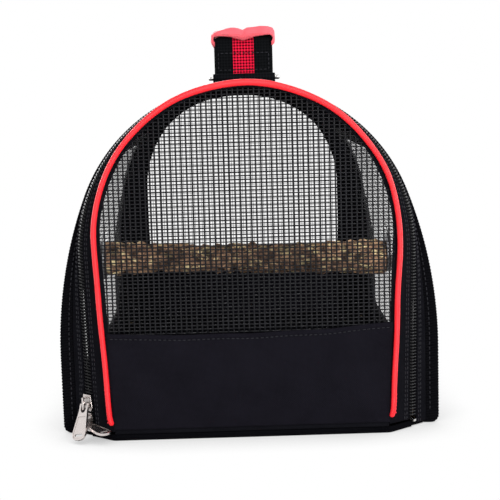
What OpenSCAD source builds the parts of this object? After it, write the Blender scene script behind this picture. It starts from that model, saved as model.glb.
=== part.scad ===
// Arched soft travel carrier for a bird: black cloth tunnel, mesh windows, a zipped
// door with red piping at the front, a bark perch across the cabin and a webbing handle.
// X is to the right of the door, Y runs from the door to the rear, Z is up.
// The origin is the middle of the base, on the floor.

/* [Body] */
// Length from the door panel to the rear panel
body_length = 400; // [380:10:440]
// Depth of each end gusset, from the end panel to the bound rim
gusset_depth = 24; // [22:1:28]
// Crown radius of the tunnel wall
wall_crown_r = 107.5; // [107:0.25:108]
// Height of the wall's crown
wall_top = 219.5; // [219:0.25:220]
// Half width of the wall at its widest
wall_half_w = 112.5; // [112:0.25:113]
// Height of the wall's widest place
wall_wide_z = 57; // [50:1:64]
// Thickness of the padded wall cloth
wall_t = 2.4; // [2:0.2:3]
// Height of the seam between the walls and the roof
roof_seam_z = 180; // [176:1:190]
// Half width of the bound rim at its widest
rim_half_w = 120.3; // [119:0.1:121]
// Height of the rim's crown
rim_top = 220; // [219.8:0.1:220.6]
// Thickness of the folded binding
rim_t = 2.6; // [2:0.2:3]

/* [Door] */
// Crown radius of the red piping
piping_crown_r = 93.3; // [92:0.1:94]
// Height of the piping's crown
piping_top = 219.8; // [219:0.1:220]
// Inward lean of the piping's legs, in degrees
piping_lean = 2.9; // [2:0.1:3.5]
// Diameter of the piping
piping_d = 3.4; // [3:0.1:3.6]
// Thickness of the door's lower panel
panel_t = 2; // [1.6:0.2:2.4]
// Height of the seam between the lower panel and the mesh
seam_z = 68; // [60:1:80]
// Height of the sewn hinge along the door's foot
hinge_z = 5.4; // [5.2:0.1:5.8]
// Radius of the rolled hem that turns in the hinge
hem_r = 1.4; // [1.2:0.1:1.5]
// Running clearance of the hem
hem_play = 0.06; // [0.04:0.01:0.1]

/* [Zip] */
// Crown radius of the zip's centre line
track_r = 103.5; // [103:0.1:104]
// Height of the zip's crown
track_top = 219; // [218.5:0.1:219.2]
// Depth of the zip behind the door panel
track_depth = 12; // [11:0.5:13]
// Pitch of the teeth
tooth_pitch = 5; // [4.5:0.5:6]
// Thickness of the teeth
tooth_t = 2; // [1.6:0.1:2.1]
// Height of the upper slider's middle
upper_slider_z = 22.6; // [22:0.1:24]
// Height of the lower slider's middle
lower_slider_z = 10.9; // [10.6:0.1:11]
// Length of a slider
slider_len = 10.4; // [9:0.2:10.4]
// Length of a pull, from its pivot to its tip
pull_len = 24; // [22:0.5:24]
// Width of a pull at its flared end
pull_w = 10.4; // [9:0.2:11]

/* [Windows] */
// Half length of a side window
side_window_y = 148; // [140:1:150]
// Lowest edge of a side window
side_window_low = 24; // [20:1:30]
// Highest edge of a side window
side_window_high = 174; // [170:1:175]
// Pitch of the net across
net_pitch_x = 13.8; // [13:0.2:18]
// Pitch of the net upwards
net_pitch_z = 12.6; // [12:0.2:16]
// Width of a strand of the net
strand_w = 1.7; // [1.2:0.1:2.4]
// Thickness of the net
net_t = 0.8; // [0.6:0.1:1]

/* [Perch] */
// Height of the perch's axis
perch_z = 86; // [80:1:96]
// Radius of the perch at its ends
perch_end_r = 13.4; // [12:0.2:15]
// Radius of the perch in the middle
perch_mid_r = 11.4; // [10:0.2:13]
// Radius of a perch washer
washer_r = 15; // [14:0.5:16]
// Radius of the perch stud
stud_r = 3; // [2.5:0.5:3]
// Running clearance of a wing nut on its stud
nut_play = 0.05; // [0.03:0.01:0.1]

/* [Handle] */
// Offset of the handle to the right of the middle
handle_x = 2; // [0:0.5:3]
// Distance of each handle leg from the middle of the carrier
handle_y = 75; // [65:1:85]
// Width of the webbing
webbing_w = 40; // [38:1:40]
// Thickness of the doubled webbing
webbing_t = 2.2; // [2:0.1:2.6]
// Height of the ring bar that a leg swings on
ring_z = 223; // [223:0.5:224]
// Radius of the ring's wire
ring_wire_r = 1.6; // [1.4:0.1:1.8]
// Running clearance of a leg's loop on the ring
loop_play = 0.08; // [0.05:0.01:0.1]
// Height of the pivot between a leg and the grip
grip_pivot_z = 250; // [248:1:252]
// Width of the grip wrap
grip_w = 45; // [44:1:48]
// Height of the grip wrap's top
grip_top = 258; // [256:1:260]

/* [Hidden] */
$fn = 48;

front_y = -body_length / 2;
rear_y = body_length / 2;
wall_end_y = rear_y - gusset_depth;
rim_face_y = wall_end_y + rim_t;
track_y = front_y + track_depth;
hinge_y = front_y + panel_t / 2;
base_t = 2;
band_h = 4.1;
piping_r = piping_d / 2;
piping_foot = 10.6;
door_foot = 5.7;
seam_allowance = 1.5;
board_t = 1.5;
mat_t = 5;
cloth = [0.10, 0.10, 0.11];
deep_black = [0.06, 0.06, 0.065];
red = [0.95, 0.10, 0.16];
metal = [0.78, 0.77, 0.76];

// ---- Arch outlines ------------------------------------------------------
// An outline is [crown radius, crown centre height, angle where the side arc takes
// over, side arc radius, lean of the legs]. Its arcs are tangent to each other.
function bulged(r, top, w, wide_z) = let (zc = top - r, d = zc - wide_z,
    r2 = (w * w + d * d - r * r) / (2 * (w - r))) [r, zc, atan2(d, r2 - w), r2, 0];
function grow(o, d) = [o[0] + d, o[1], o[2], o[3] + d, o[4]];
function side_x(o) = -(o[3] - o[0]) * cos(o[2]);
function side_z(o) = o[1] - (o[3] - o[0]) * sin(o[2]);
function leg_x(o) = side_x(o) + o[3] * cos(o[4]);
function leg_z(o) = side_z(o) + o[3] * sin(o[4]);

WALL = bulged(wall_crown_r, wall_top, wall_half_w, wall_wide_z);
RIM = bulged(108.5, rim_top, rim_half_w, 50);
PIPING = [piping_crown_r, piping_top - piping_crown_r, 0, 400, -piping_lean];
TRACK = [track_r, track_top - track_r, 0, track_r, -1];

// Half width of an outline at height z
function half_w(o, z) = z >= o[1] + o[0] * sin(o[2]) ? sqrt(max(0, pow(o[0], 2) - pow(z - o[1], 2)))
    : z >= leg_z(o) ? side_x(o) + sqrt(pow(o[3], 2) - pow(z - side_z(o), 2))
    : leg_x(o) + (leg_z(o) - z) * tan(o[4]);

// Points of the outline from the right foot over the crown to the left foot
function half_arch(o, foot) = concat([[half_w(o, foot), foot]],
    [for (i = [0:6]) let (a = o[4] + (o[2] - o[4]) * i / 6)
        [side_x(o) + o[3] * cos(a), side_z(o) + o[3] * sin(a)]],
    [for (i = [1:24]) let (a = o[2] + (90 - o[2]) * i / 24) [o[0] * cos(a), o[1] + o[0] * sin(a)]]);
function arch(o, foot) = let (h = half_arch(o, foot))
    concat(h, [for (i = [len(h) - 2:-1:0]) [-h[i][0], h[i][1]]]);
module ring(outer, inner, foot) {
    difference() {
        polygon(arch(outer, foot));
        polygon(arch(inner, foot - 1));
    }
}
// Extrudes a shape drawn in X and Z, from y to y + depth
module along_y(y, depth) { translate([0, y + depth, 0]) rotate([90, 0, 0]) linear_extrude(depth) children(); }

// ---- Stations along the zip ----------------------------------------------
// A station s is the height on the right leg, then the length along the crown,
// then the way down the left leg, which ends at run.
hub_z = TRACK[1];
crown_run = PI * track_r;
run = 2 * hub_z + crown_run;
function reach(cx, cz, r, a) = let (ox = cx, oz = cz - hub_z, p = ox * cos(a) + oz * sin(a))
    p + sqrt(p * p - ox * ox - oz * oz + r * r);
function on_crown(o, a) = let (t = reach(0, o[1], o[0], a))
    hub_z + t * sin(a) >= o[1] + o[0] * sin(o[2]) ? [t * cos(a), hub_z + t * sin(a)]
    : let (t2 = reach(side_x(o), side_z(o), o[3], a)) [t2 * cos(a), hub_z + t2 * sin(a)];
function at(o, s) = s > run / 2 ? let (p = at(o, run - s)) [-p[0], p[1]]
    : s <= hub_z ? [half_w(o, s), s] : on_crown(o, (s - hub_z) / track_r * 180 / PI);
function at3(o, y, s) = let (p = at(o, s)) [p[0], y, p[1]];
function stations(foot, left_foot) = concat(
    [for (i = [0:4]) foot + (hub_z - foot) * i / 5],
    [for (i = [0:30]) hub_z + crown_run * i / 30],
    [for (i = [1:5]) run - hub_z + (hub_z - left_foot) * i / 5]);
function unit(v) = v / norm(v);
function heading(s) = unit(at3(TRACK, 0, s + 0.5) - at3(TRACK, 0, s - 0.5));
// A point d millimetres from the zip's centre line, towards the edge outline o at depth y
function off_track(s, o, y, d) = let (t = at3(TRACK, track_y, s)) t + unit(at3(o, y, s) - t) * d;
// Cross-section of a flat strip between points p and q, t thick, square to the zip
function strip(p, q, s, t) = let (n = unit(cross(q - p, heading(s))) * t / 2) [p + n, q + n, q - n, p - n];

// Closed skin over a list of cross-sections that all have the same number of points
module skin(rings) {
    m = len(rings[0]);
    n = len(rings);
    polyhedron([for (r = rings) each r], concat(
        [[for (j = [0:m - 1]) j]],
        [for (i = [0:n - 2], j = [0:m - 1]) let (a = i * m + j, b = i * m + (j + 1) % m)
            each [[a, a + m, b + m], [a, b + m, b]]],
        [[for (j = [m - 1:-1:0]) (n - 1) * m + j]]));
}

// Round tube of radius r that follows outline o at depth y
module arch_tube(o, y, r, foot) {
    skin([for (s = stations(foot, foot)) let (p = at3(o, y, s), h = heading(s), u = unit([h[2], 0, -h[0]]))
        [for (k = [0:7]) p + r * (cos(k * 45) * u + sin(k * 45) * [0, 1, 0])]]);
}

// ---- Base ------------------------------------------------------------------
track_foot_x = half_w(TRACK, 0);
piping_foot_x = half_w(PIPING, 0);
wall_in = grow(WALL, -wall_t);
inner_half_w = wall_half_w - wall_t;

module bottom_panel() {
    color(cloth) linear_extrude(base_t) polygon([for (m = [1, -1]) each let (q = [
        [piping_foot_x - 1.3, front_y + 3], [track_foot_x - 1.6, track_y + 1.7], [track_foot_x, track_y],
        [inner_half_w, -rim_face_y], [inner_half_w, rim_face_y], [piping_foot_x, rear_y - panel_t]])
        [for (i = [0:5]) let (k = m > 0 ? i : 5 - i) [m * q[k][0], q[k][1]]]]);
}
module front_base_band() {
    color(cloth) difference() {
        linear_extrude(band_h) polygon([
            [-track_foot_x, track_y], [-piping_foot_x, front_y], [piping_foot_x, front_y], [track_foot_x, track_y],
            [track_foot_x - 1.6, track_y + 1.7], [piping_foot_x - 1.3, front_y + 3],
            [1.3 - piping_foot_x, front_y + 3], [1.6 - track_foot_x, track_y + 1.7]]);
        translate([-body_length / 2, hinge_y, hinge_z]) rotate([0, 90, 0])
            cylinder(h = body_length, r = hem_r + hem_play);
    }
}
module base_board() {
    color([0.35, 0.30, 0.24]) translate([0, 0, base_t]) linear_extrude(board_t)
        square([2 * inner_half_w - 6, 2 * wall_end_y - 6], center = true);
}
// Padded mat with rounded corners and a soft crown
mat_half = [inner_half_w - 1.5, wall_end_y - 1.5];
function mat_ring(grow_by, z) = [for (k = [0:31]) let (a = 360 * k / 32, e = 0.28,
    c = sign(cos(a)) * pow(abs(cos(a)), e), d = sign(sin(a)) * pow(abs(sin(a)), e))
    [c * (mat_half[0] - grow_by), d * (mat_half[1] - grow_by), z]];
module floor_mat() {
    z = base_t + board_t;
    color(deep_black)
        skin([mat_ring(1.2, z), mat_ring(0, z + 1.4), mat_ring(0, z + mat_t - 2), mat_ring(1.6, z + mat_t - 0.5),
            mat_ring(12, z + mat_t), mat_ring(60, z + mat_t + 0.5)]);
}

// ---- Tunnel walls and windows -----------------------------------------------
// Side window outline in Y and Z, with larger rounding at the foot
function corner(y, z, r, a0) = [for (i = [0:8]) let (a = a0 + 90 * i / 8) [y + r * cos(a), z + r * sin(a)]];
low_r = 50;
high_r = 30;
function window_outline(g) = concat(
    corner(side_window_y - high_r, side_window_high - high_r, high_r + g, 0),
    corner(high_r - side_window_y, side_window_high - high_r, high_r + g, 90),
    corner(low_r - side_window_y, side_window_low + low_r, low_r + g, 180),
    corner(side_window_y - low_r, side_window_low + low_r, low_r + g, 270));
// Extrudes a shape drawn in Y and Z through the wall on one side
module through_wall(side) {
    translate([side > 0 ? 40 : -140, 0, 0]) rotate([90, 0, 90]) linear_extrude(100) children();
}
module side_wall(side) {
    color(cloth) difference() {
        along_y(-wall_end_y, 2 * wall_end_y) intersection() {
            ring(WALL, wall_in, 0);
            translate([side > 0 ? 0 : -150, 0]) square([150, roof_seam_z]);
        }
        through_wall(side) polygon(window_outline(0));
    }
}
module left_wall() side_wall(-1);
module right_wall() side_wall(1);
module roof_panel() {
    color(cloth) along_y(-wall_end_y, 2 * wall_end_y) intersection() {
        ring(WALL, wall_in, 0);
        translate([-150, roof_seam_z]) square([300, 60]);
    }
}
// Rows and columns of square gaps, kept inside a border
module net_gaps(columns, rows, pitch_x, pitch_z, low) {
    for (i = [0:columns - 1], j = [0:rows - 1])
        translate([(i - columns / 2) * pitch_x + strand_w / 2, low + j * pitch_z])
            square([pitch_x - strand_w, pitch_z - strand_w]);
}
side_net_pitch = 21;
clamp_r = washer_r + 0.4;
collar_w = 2;
// Net that follows the wall, with a flat middle that the perch's washers hold between
// them and a collar that joins the two
module side_net(side) {
    color(deep_black) union() {
        intersection() {
            along_y(-side_window_y, 2 * side_window_y) ring(grow(WALL, -0.8), grow(WALL, -0.8 - net_t), 0);
            through_wall(side) difference() {
                polygon(window_outline(-0.05));
                intersection() {
                    polygon(window_outline(-2.5));
                    difference() {
                        net_gaps(14, 11, side_net_pitch, 13.2, side_window_low + 2);
                        translate([0, perch_z]) circle(r = clamp_r + 0.8 * collar_w);
                    }
                }
                translate([0, perch_z]) circle(r = clamp_r + 0.6 * collar_w);
            }
        }
        intersection() {
            along_y(-20, 40) ring(grow(WALL, 0.6), grow(WALL, -2.4), 0);
            through_wall(side) translate([0, perch_z]) difference() {
                circle(r = clamp_r + collar_w);
                circle(r = clamp_r);
            }
        }
        translate([side > 0 ? net_in_x : -net_out_x, 0, perch_z]) rotate([0, 90, 0])
            linear_extrude(net_out_x - net_in_x) difference() {
                circle(r = clamp_r + 0.4 * collar_w);
                circle(r = stud_r + 0.2);
            }
    }
}
module left_window_mesh() side_net(-1);
module right_window_mesh() side_net(1);

// ---- Rims and gussets ----------------------------------------------------------
rim_corner_r = 5;
module binding(y) {
    color(deep_black) along_y(y, rim_t) difference() {
        ring(RIM, wall_in, 0);
        for (m = [1, -1]) difference() {
            translate([m * rim_half_w - 5 - 0.5 * m, -1]) square([10, rim_corner_r + 1]);
            translate([m * (rim_half_w - rim_corner_r), rim_corner_r]) circle(r = rim_corner_r);
            translate([m * (rim_half_w - rim_corner_r) - (m > 0 ? 10 : 0), -1]) square([10, 12]);
        }
    }
}
module front_binding() binding(-rim_face_y);
module rear_binding() binding(wall_end_y);

gusset_t = 1.2;
zip_margin = 4;
// Cloths that are sewn together lie this far apart
sewing_gap = 0.2;
// The body side leaves room for the parked sliders at the foot of the left leg
park_top = 34;
parked_margin = 8.6;
function parked(s) = run - s < park_top;
mid_wall = grow(WALL, -wall_t / 2);
module front_zip_gusset() {
    color(cloth) skin([for (s = concat(stations(base_t + 0.05, park_top + 0.1),
            [run - park_top + 0.1, run - base_t - 0.05]))
        strip(off_track(s, mid_wall, -rim_face_y, (parked(s) ? parked_margin : zip_margin) + sewing_gap),
            at3(mid_wall, -rim_face_y, s) - [0, 0.65, 0], s, gusset_t)]);
}
module door_gusset() {
    color(cloth) skin([for (s = stations(door_foot, door_foot))
        strip(at3(grow(PIPING, -0.5), front_y + 0.7, s), off_track(s, PIPING, front_y, zip_margin + sewing_gap), s,
            gusset_t)]);
}
module rear_gusset() {
    color(cloth) skin([for (s = stations(base_t + 0.05, base_t + 0.05))
        strip(at3(mid_wall, rim_face_y + 0.65, s), at3(grow(PIPING, -0.4), rear_y - 0.65, s), s, gusset_t)]);
}

// ---- Zip -----------------------------------------------------------------------
tape_t = 0.7;
teeth_edge = 2.6;
open_gap = 0.45;
engagement = 0.8;
slide_travel = 60;
function engaged(s) = s > 48 && s < run - (upper_slider_z + slide_travel + slider_len);
function tooth_tip(s) = engaged(s) ? engagement : -open_gap;
// Stations of a comb: each tooth rises, holds and falls again
tooth_rise = 0.3;
tooth_w = 1.6;
function comb_stations(first, last, shift) = [for (s = [first + shift:tooth_pitch:last - tooth_pitch])
    each [[s, 0], [s + tooth_rise, 1], [s + tooth_rise + tooth_w, 1], [s + 2 * tooth_rise + tooth_w, 0]]];
module comb(o, y, first, last, shift) {
    skin([for (k = comb_stations(first, last, shift)) let (s = k[0], tip = k[1] > 0 ? tooth_tip(s) : -teeth_edge + 1.1)
        strip(off_track(s, o, y, teeth_edge), off_track(s, o, y, -tip), s, tooth_t)]);
}
module tape(o, y, foot, left_foot) {
    skin([for (s = stations(foot, left_foot))
        strip(off_track(s, o, y, zip_margin), off_track(s, o, y, teeth_edge + sewing_gap), s, tape_t)]);
}
module zipper_tape_door() color(deep_black) tape(PIPING, front_y, door_foot, door_foot);
module zipper_tape_body() color(deep_black) tape(mid_wall, -rim_face_y, door_foot, park_top);
module zipper_teeth_door() color(deep_black) comb(PIPING, front_y, door_foot, run - door_foot, 0);
module zipper_teeth_body() color(deep_black) comb(mid_wall, -rim_face_y, door_foot, run - park_top, tooth_pitch / 2);

// Local frame of a slider on the left leg: X across the zip, Y out of it, Z along it
slider_turn = 137;
module on_left_leg(z) {
    translate([-half_w(TRACK, z), track_y, z]) rotate([0, TRACK[4], 0]) rotate([0, 0, slider_turn]) children();
}
plate_in = 1.45;
plate_out = 2.2;
bridge_in = 4.9;
bridge_out = 6;
module slider_plate(y0, y1) {
    l = slider_len / 2;
    translate([0, y1, 0]) rotate([90, 0, 0]) linear_extrude(y1 - y0) union() {
        polygon([[-3.4, l], [3.4, l], [3.9, 1], [4.5, -2], [3.2, -l], [-3.2, -l], [-4.5, -2], [-3.9, 1]]);
        for (m = [1, -1]) translate([m * 3.2, -2.2]) circle(r = 1.35);
    }
}
// Slider with its wide, open mouth downwards
module slider() {
    l = slider_len / 2;
    color(metal) union() {
        slider_plate(plate_in, plate_out);
        slider_plate(-plate_out, -plate_in);
        translate([-0.2, -plate_in - 0.1, -l]) cube([0.4, 2 * plate_in + 0.2, slider_len * 0.55]);
        translate([-0.8, bridge_in, -3.9]) cube([1.6, bridge_out - bridge_in, 7.8]);
        for (z = [-3.9, 3]) translate([-0.8, plate_out - 0.1, z]) cube([1.6, bridge_out - plate_out + 0.1, 0.9]);
    }
}
module upper_slider() on_left_leg(upper_slider_z) slider();
module lower_slider() on_left_leg(lower_slider_z) mirror([0, 0, 1]) slider();

// Flared metal pull. Its pivot bar is at the origin, and it hangs down Z
eye_half = 3.2;
eye_depth = 5;
pull_t = 1.5;
function pull_half(inset) = [
    [eye_half - inset, -1], [eye_half - inset, -eye_depth], [pull_w / 2 - inset, -pull_len + 4.2],
    [pull_w / 2 - 0.9 - inset, -pull_len + 1.6], [pull_w / 2 - 2.6 - inset, -pull_len + 0.4 + inset],
    [0, -pull_len + inset]];
module pull_outline(inset) {
    polygon(concat(pull_half(inset), [for (i = [4:-1:0]) let (p = pull_half(inset)[i]) [-p[0], p[1]]]));
}
module pull() {
    color(metal) difference() {
        union() {
            translate([0, pull_t / 2, 0]) rotate([90, 0, 0]) linear_extrude(pull_t) pull_outline(0);
            translate([-eye_half, 0, 0]) rotate([0, 90, 0]) cylinder(h = 2 * eye_half, r = pull_t / 2);
            for (m = [1, -1]) translate([m > 0 ? 2 : -eye_half, -pull_t / 2, -1.2]) cube([1.2, pull_t, 1.2]);
        }
        translate([-2, -2, -eye_depth + 0.6]) cube([4, 4, eye_depth - 0.6 - pull_t / 2]);
        translate([0, 2, -eye_depth + 0.6]) rotate([90, 0, 0]) cylinder(h = 4, r = 1.6);
        // shallow panel on both faces, and the slot near the tip
        for (m = [1, -1]) translate([0, m * (pull_t / 2 + 1 - 0.25), 0]) rotate([90, 0, 0])
            translate([0, 0, -1]) linear_extrude(2) difference() {
                pull_outline(0.9);
                translate([-6, -8.5]) square([12, 10]);
            }
        for (x = [-2.2, 2.2]) translate([x, 2, -pull_len + 3.4]) rotate([90, 0, 0]) cylinder(h = 4, r = 0.75);
        translate([-2.2, -2, -pull_len + 2.65]) cube([4.4, 4, 1.5]);
    }
}
// Where each pull hangs: distance out of the zip, and its turns about Z, X and Y
pivot_out = 3.955;
module upper_pull() {
    translate([-half_w(TRACK, upper_slider_z), track_y, upper_slider_z - 0.6])
        translate(pivot_out * [-sin(slider_turn), cos(slider_turn), 0])
        rotate([0, 0, -35.94]) rotate([-33.33, 0, 0]) rotate([0, -12, 0]) pull();
}
lower_pivot = [1.6, 5.52, -0.186];
module lower_pull() {
    translate([-half_w(TRACK, lower_slider_z), track_y, lower_slider_z])
        translate([lower_pivot[0] * cos(slider_turn) - lower_pivot[1] * sin(slider_turn),
            lower_pivot[0] * sin(slider_turn) + lower_pivot[1] * cos(slider_turn), lower_pivot[2]])
        rotate([0, 0, 58.58]) rotate([-80.49, 0, 0]) rotate([0, 12.06, 0]) pull();
}
stop_h = 1.3;
module zipper_stops() {
    color(metal) for (m = [1, -1])
        translate([m * (track_foot_x - 0.3), track_y + 0.2, band_h + 0.05]) rotate([0, 0, m * -43])
            translate([-2.6, -1.3, 0]) cube([5.2, 2.6, stop_h]);
}

// ---- End panels, piping and windows of the two ends ------------------------------
module end_outline(foot) { polygon(arch(grow(PIPING, -seam_allowance), foot)); }
module end_net(y, columns) {
    color(deep_black) along_y(y, net_t) intersection() {
        translate([-100, seam_z + 0.05]) square([200, 160]);
        difference() {
            end_outline(0);
            intersection() {
                polygon(arch(grow(PIPING, -seam_allowance - 2.5), 0));
                net_gaps(columns, 12, net_pitch_x, net_pitch_z, seam_z + 2);
            }
        }
    }
}
module lower_panel(y, foot) {
    color(cloth) along_y(y, panel_t) intersection() {
        end_outline(foot);
        translate([-100, 0]) square([200, seam_z]);
    }
}
module door_lower_panel() lower_panel(front_y, hinge_z + hem_r);
module rear_lower_panel() lower_panel(rear_y - panel_t, 0);
module door_mesh() end_net(front_y + 0.6, 14);
module rear_mesh() end_net(rear_y - 0.6 - net_t, 14);
module door_piping() color(red) arch_tube(PIPING, front_y - piping_r, piping_r, piping_foot);
module rear_piping() color(red) arch_tube(PIPING, rear_y + piping_r, piping_r, 3);
module door_hem() {
    color(cloth) union() {
        translate([-85.5, hinge_y, hinge_z]) rotate([0, 90, 0]) cylinder(h = 171, r = hem_r);
        translate([-85.5, hinge_y - 0.5, hinge_z]) cube([171, 1, hem_r]);
    }
}

// ---- Perch ------------------------------------------------------------------------
washer_t = 1.2;
net_in_x = half_w(grow(WALL, -0.8 - net_t), perch_z);
net_out_x = half_w(grow(WALL, -0.8), perch_z);
perch_half = net_in_x - washer_t - 0.5;
outer_washer_x = net_out_x + 0.3;
nut_x = outer_washer_x + washer_t + 0.3;
nut_len = 6;
// Bark: the radius swells towards the ends and is broken by ridges and knots
function bark_r(x, a) = let (u = abs(x) / perch_half)
    perch_mid_r + (perch_end_r - perch_mid_r) * pow(u, 3) + 0.55 * sin(a * 3 + x * 4.1)
    + 0.45 * sin(a * 5 - x * 7.3) + 0.35 * sin(a * 2 + x * 13);
module perch() {
    color([0.36, 0.27, 0.19]) difference() {
        skin([for (i = [0:26]) let (x = -perch_half + 2 * perch_half * i / 26)
            [for (k = [11:-1:0]) [x, bark_r(x, k * 30) * cos(k * 30), perch_z + bark_r(x, k * 30) * sin(k * 30)]]]);
        for (m = [1, -1]) translate([m > 0 ? perch_half - 24 : -perch_half - 1, 0, perch_z]) rotate([0, 90, 0])
            cylinder(h = 25, r = stud_r);
    }
}
// Draws its children on the right end of the perch's axis and mirrored on the left
module both_ends() {
    for (m = [0, 1]) mirror([m, 0, 0]) translate([0, 0, perch_z]) rotate([0, 90, 0]) children();
}
module washer(x) {
    translate([0, 0, x]) difference() {
        cylinder(h = washer_t, r = washer_r);
        translate([0, 0, -1]) cylinder(h = washer_t + 2, r = stud_r + 0.02);
    }
}
module perch_studs() color(metal) both_ends() translate([0, 0, perch_half - 24]) cylinder(h = nut_x + nut_len + 1.4 - perch_half + 24, r = stud_r - 0.01);
module inner_washers() color(metal) both_ends() washer(net_in_x - washer_t - 0.25);
module outer_washers() color(metal) both_ends() washer(outer_washer_x);
module wing_nut() {
    color(metal) translate([0, 0, nut_x]) difference() {
        union() {
            cylinder(h = nut_len, r = 5.4);
            for (m = [0, 180]) rotate([90, 0, m]) translate([0, 0, -0.9]) linear_extrude(1.8)
                polygon([[4, 1.6], [8, 2], [12, 3.2], [13.4, 4.6], [12.8, 5.9], [10.5, 6], [7, 5.2], [4, 5]]);
        }
        translate([0, 0, -1]) cylinder(h = nut_len + 2, r = stud_r - 0.01 + nut_play);
    }
}
module right_wing_nut() translate([0, 0, perch_z]) rotate([0, 90, 0]) wing_nut();
module left_wing_nut() mirror([1, 0, 0]) right_wing_nut();

// ---- Handle -------------------------------------------------------------------------
ring_inner = webbing_w + 3.6;
ring_span = 13;
tab_w = webbing_w + 2;
ring_bend = 3.5;
// Rectangular wire ring that lies flat, its inner bar on the handle leg's axis
module wire_ring(side) {
    x = ring_inner / 2 + ring_wire_r;
    y0 = 0;
    y1 = ring_span;
    color(metal) translate([handle_x, side * handle_y, ring_z]) mirror([0, side > 0 ? 0 : 1, 0]) union() {
        for (y = [y0, y1]) translate([-x + ring_bend, y, 0]) rotate([0, 90, 0]) cylinder(h = 2 * (x - ring_bend), r = ring_wire_r);
        for (m = [1, -1]) translate([m * x, ring_bend, 0]) rotate([-90, 0, 0]) cylinder(h = ring_span - 2 * ring_bend, r = ring_wire_r);
        for (c = [[x - ring_bend, y1 - ring_bend, 0], [ring_bend - x, y1 - ring_bend, 90],
                [ring_bend - x, ring_bend, 180], [x - ring_bend, ring_bend, 270]])
            translate([c[0], c[1], 0]) rotate([0, 0, c[2]]) rotate_extrude(angle = 90)
                translate([ring_bend, 0]) circle(r = ring_wire_r);
    }
}
module front_ring() wire_ring(-1);
module rear_ring() wire_ring(1);
// Sewn tab: a loop round the ring's outer bar and a patch that follows the roof
patch_t = 1;
module ring_tab(side) {
    y = side * (handle_y + ring_span);
    color(cloth) union() {
        difference() {
            translate([handle_x - tab_w / 2, y, ring_z]) rotate([0, 90, 0]) cylinder(h = tab_w, r = ring_wire_r + 1.3);
            translate([handle_x - tab_w, y, ring_z]) rotate([0, 90, 0]) cylinder(h = 2 * tab_w, r = ring_wire_r);
        }
        along_y(side > 0 ? y - 2 : y - 20, 22) intersection() {
            ring(grow(WALL, patch_t), WALL, 0);
            translate([handle_x - tab_w / 2, 200]) square([tab_w, 60]);
        }
        translate([handle_x - 12, side > 0 ? y - 1 : y - 5, wall_top + 0.1]) cube([24, 6, ring_z - ring_wire_r - wall_top - 0.6]);
    }
}
module front_ring_tab() ring_tab(-1);
module rear_ring_tab() ring_tab(1);
// Webbing leg: a loop that turns on the ring bar and a flat strap up to the grip
loop_r = ring_wire_r + loop_play;
module handle_leg(side) {
    color(cloth) translate([handle_x - webbing_w / 2, side * handle_y, 0]) difference() {
        union() {
            translate([0, 0, ring_z]) rotate([0, 90, 0]) cylinder(h = webbing_w, r = loop_r + 1.1);
            translate([0, -webbing_t / 2, ring_z]) cube([webbing_w, webbing_t, grip_pivot_z - ring_z]);
            translate([0, 0, grip_pivot_z]) rotate([0, 90, 0]) cylinder(h = webbing_w, r = webbing_t / 2);
        }
        translate([-1, 0, ring_z]) rotate([0, 90, 0]) cylinder(h = webbing_w + 2, r = loop_r);
    }
}
module handle_front_leg() handle_leg(-1);
module handle_rear_leg() handle_leg(1);
// The top strap's ends are mitred below, clear of the legs when the handle lies over
swing_max = 50;
strap_gap = webbing_t / 2 + 0.3;
mitre_foot = (strap_gap + webbing_t / 2 * sin(swing_max)) / cos(swing_max);
mitre_top = strap_gap * (1 - cos(swing_max)) / sin(swing_max);
module handle_top_strap() {
    color(cloth) translate([handle_x - webbing_w / 2, 0, grip_pivot_z]) rotate([90, 0, 90]) linear_extrude(webbing_w)
        polygon([for (m = [1, -1]) each let (q = [[handle_y - mitre_foot, -webbing_t / 2],
            [handle_y - strap_gap, mitre_top], [handle_y - strap_gap, webbing_t / 2]])
            [for (i = [0:2]) let (k = m > 0 ? i : 2 - i) [m * q[k][0], q[k][1]]]]);
}
// Padded wrap round the top strap, with a crease along its top and side lips
lip_z = 244.5;
wrap_over = 4.5;
module wrap_profile(flaps) {
    w = grip_w / 2;
    polygon(concat([for (p = [[0, grip_top - 1.6], [w * 0.5, grip_top], [w - 3, grip_top - 1],
            [w - 0.6, grip_top - 4], [w, grip_top - 8], [w - 0.4, lip_z + 1]]) p],
        flaps ? [[w - 2, lip_z], [1, lip_z + 0.4], [1, lip_z + 2.4], [webbing_w / 2 + 0.4, lip_z + 2.4]]
            : [[w - 1.2, lip_z], [webbing_w / 2 + 0.4, lip_z + 0.6]],
        [[webbing_w / 2 + 0.4, grip_pivot_z + 1.4], [0, grip_pivot_z + 1.4]]));
}
module grip_wrap() {
    color([0.98, 0.42, 0.46]) translate([handle_x, 0, 0]) for (m = [0, 1]) mirror([m, 0, 0]) {
        along_y(-handle_y + 10, 2 * handle_y - 20) wrap_profile(true);
        for (y = [-handle_y - wrap_over, handle_y - 10]) along_y(y, 10 + wrap_over) wrap_profile(false);
    }
}

bottom_panel();
front_base_band();
base_board();
floor_mat();
left_wall();
right_wall();
roof_panel();
left_window_mesh();
right_window_mesh();
front_binding();
rear_binding();
front_zip_gusset();
zipper_tape_body();
zipper_teeth_body();
zipper_stops();
rear_gusset();
rear_lower_panel();
rear_mesh();
rear_piping();
perch();
perch_studs();
inner_washers();
outer_washers();
left_wing_nut();
right_wing_nut();
front_ring_tab();
rear_ring_tab();
front_ring();
rear_ring();
handle_front_leg();
handle_rear_leg();
handle_top_strap();
grip_wrap();
door_lower_panel();
door_mesh();
door_hem();
door_piping();
door_gusset();
zipper_tape_door();
zipper_teeth_door();
upper_slider();
lower_slider();
upper_pull();
lower_pull();
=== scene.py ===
import bpy
import numpy as np
from mathutils import Matrix


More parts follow.
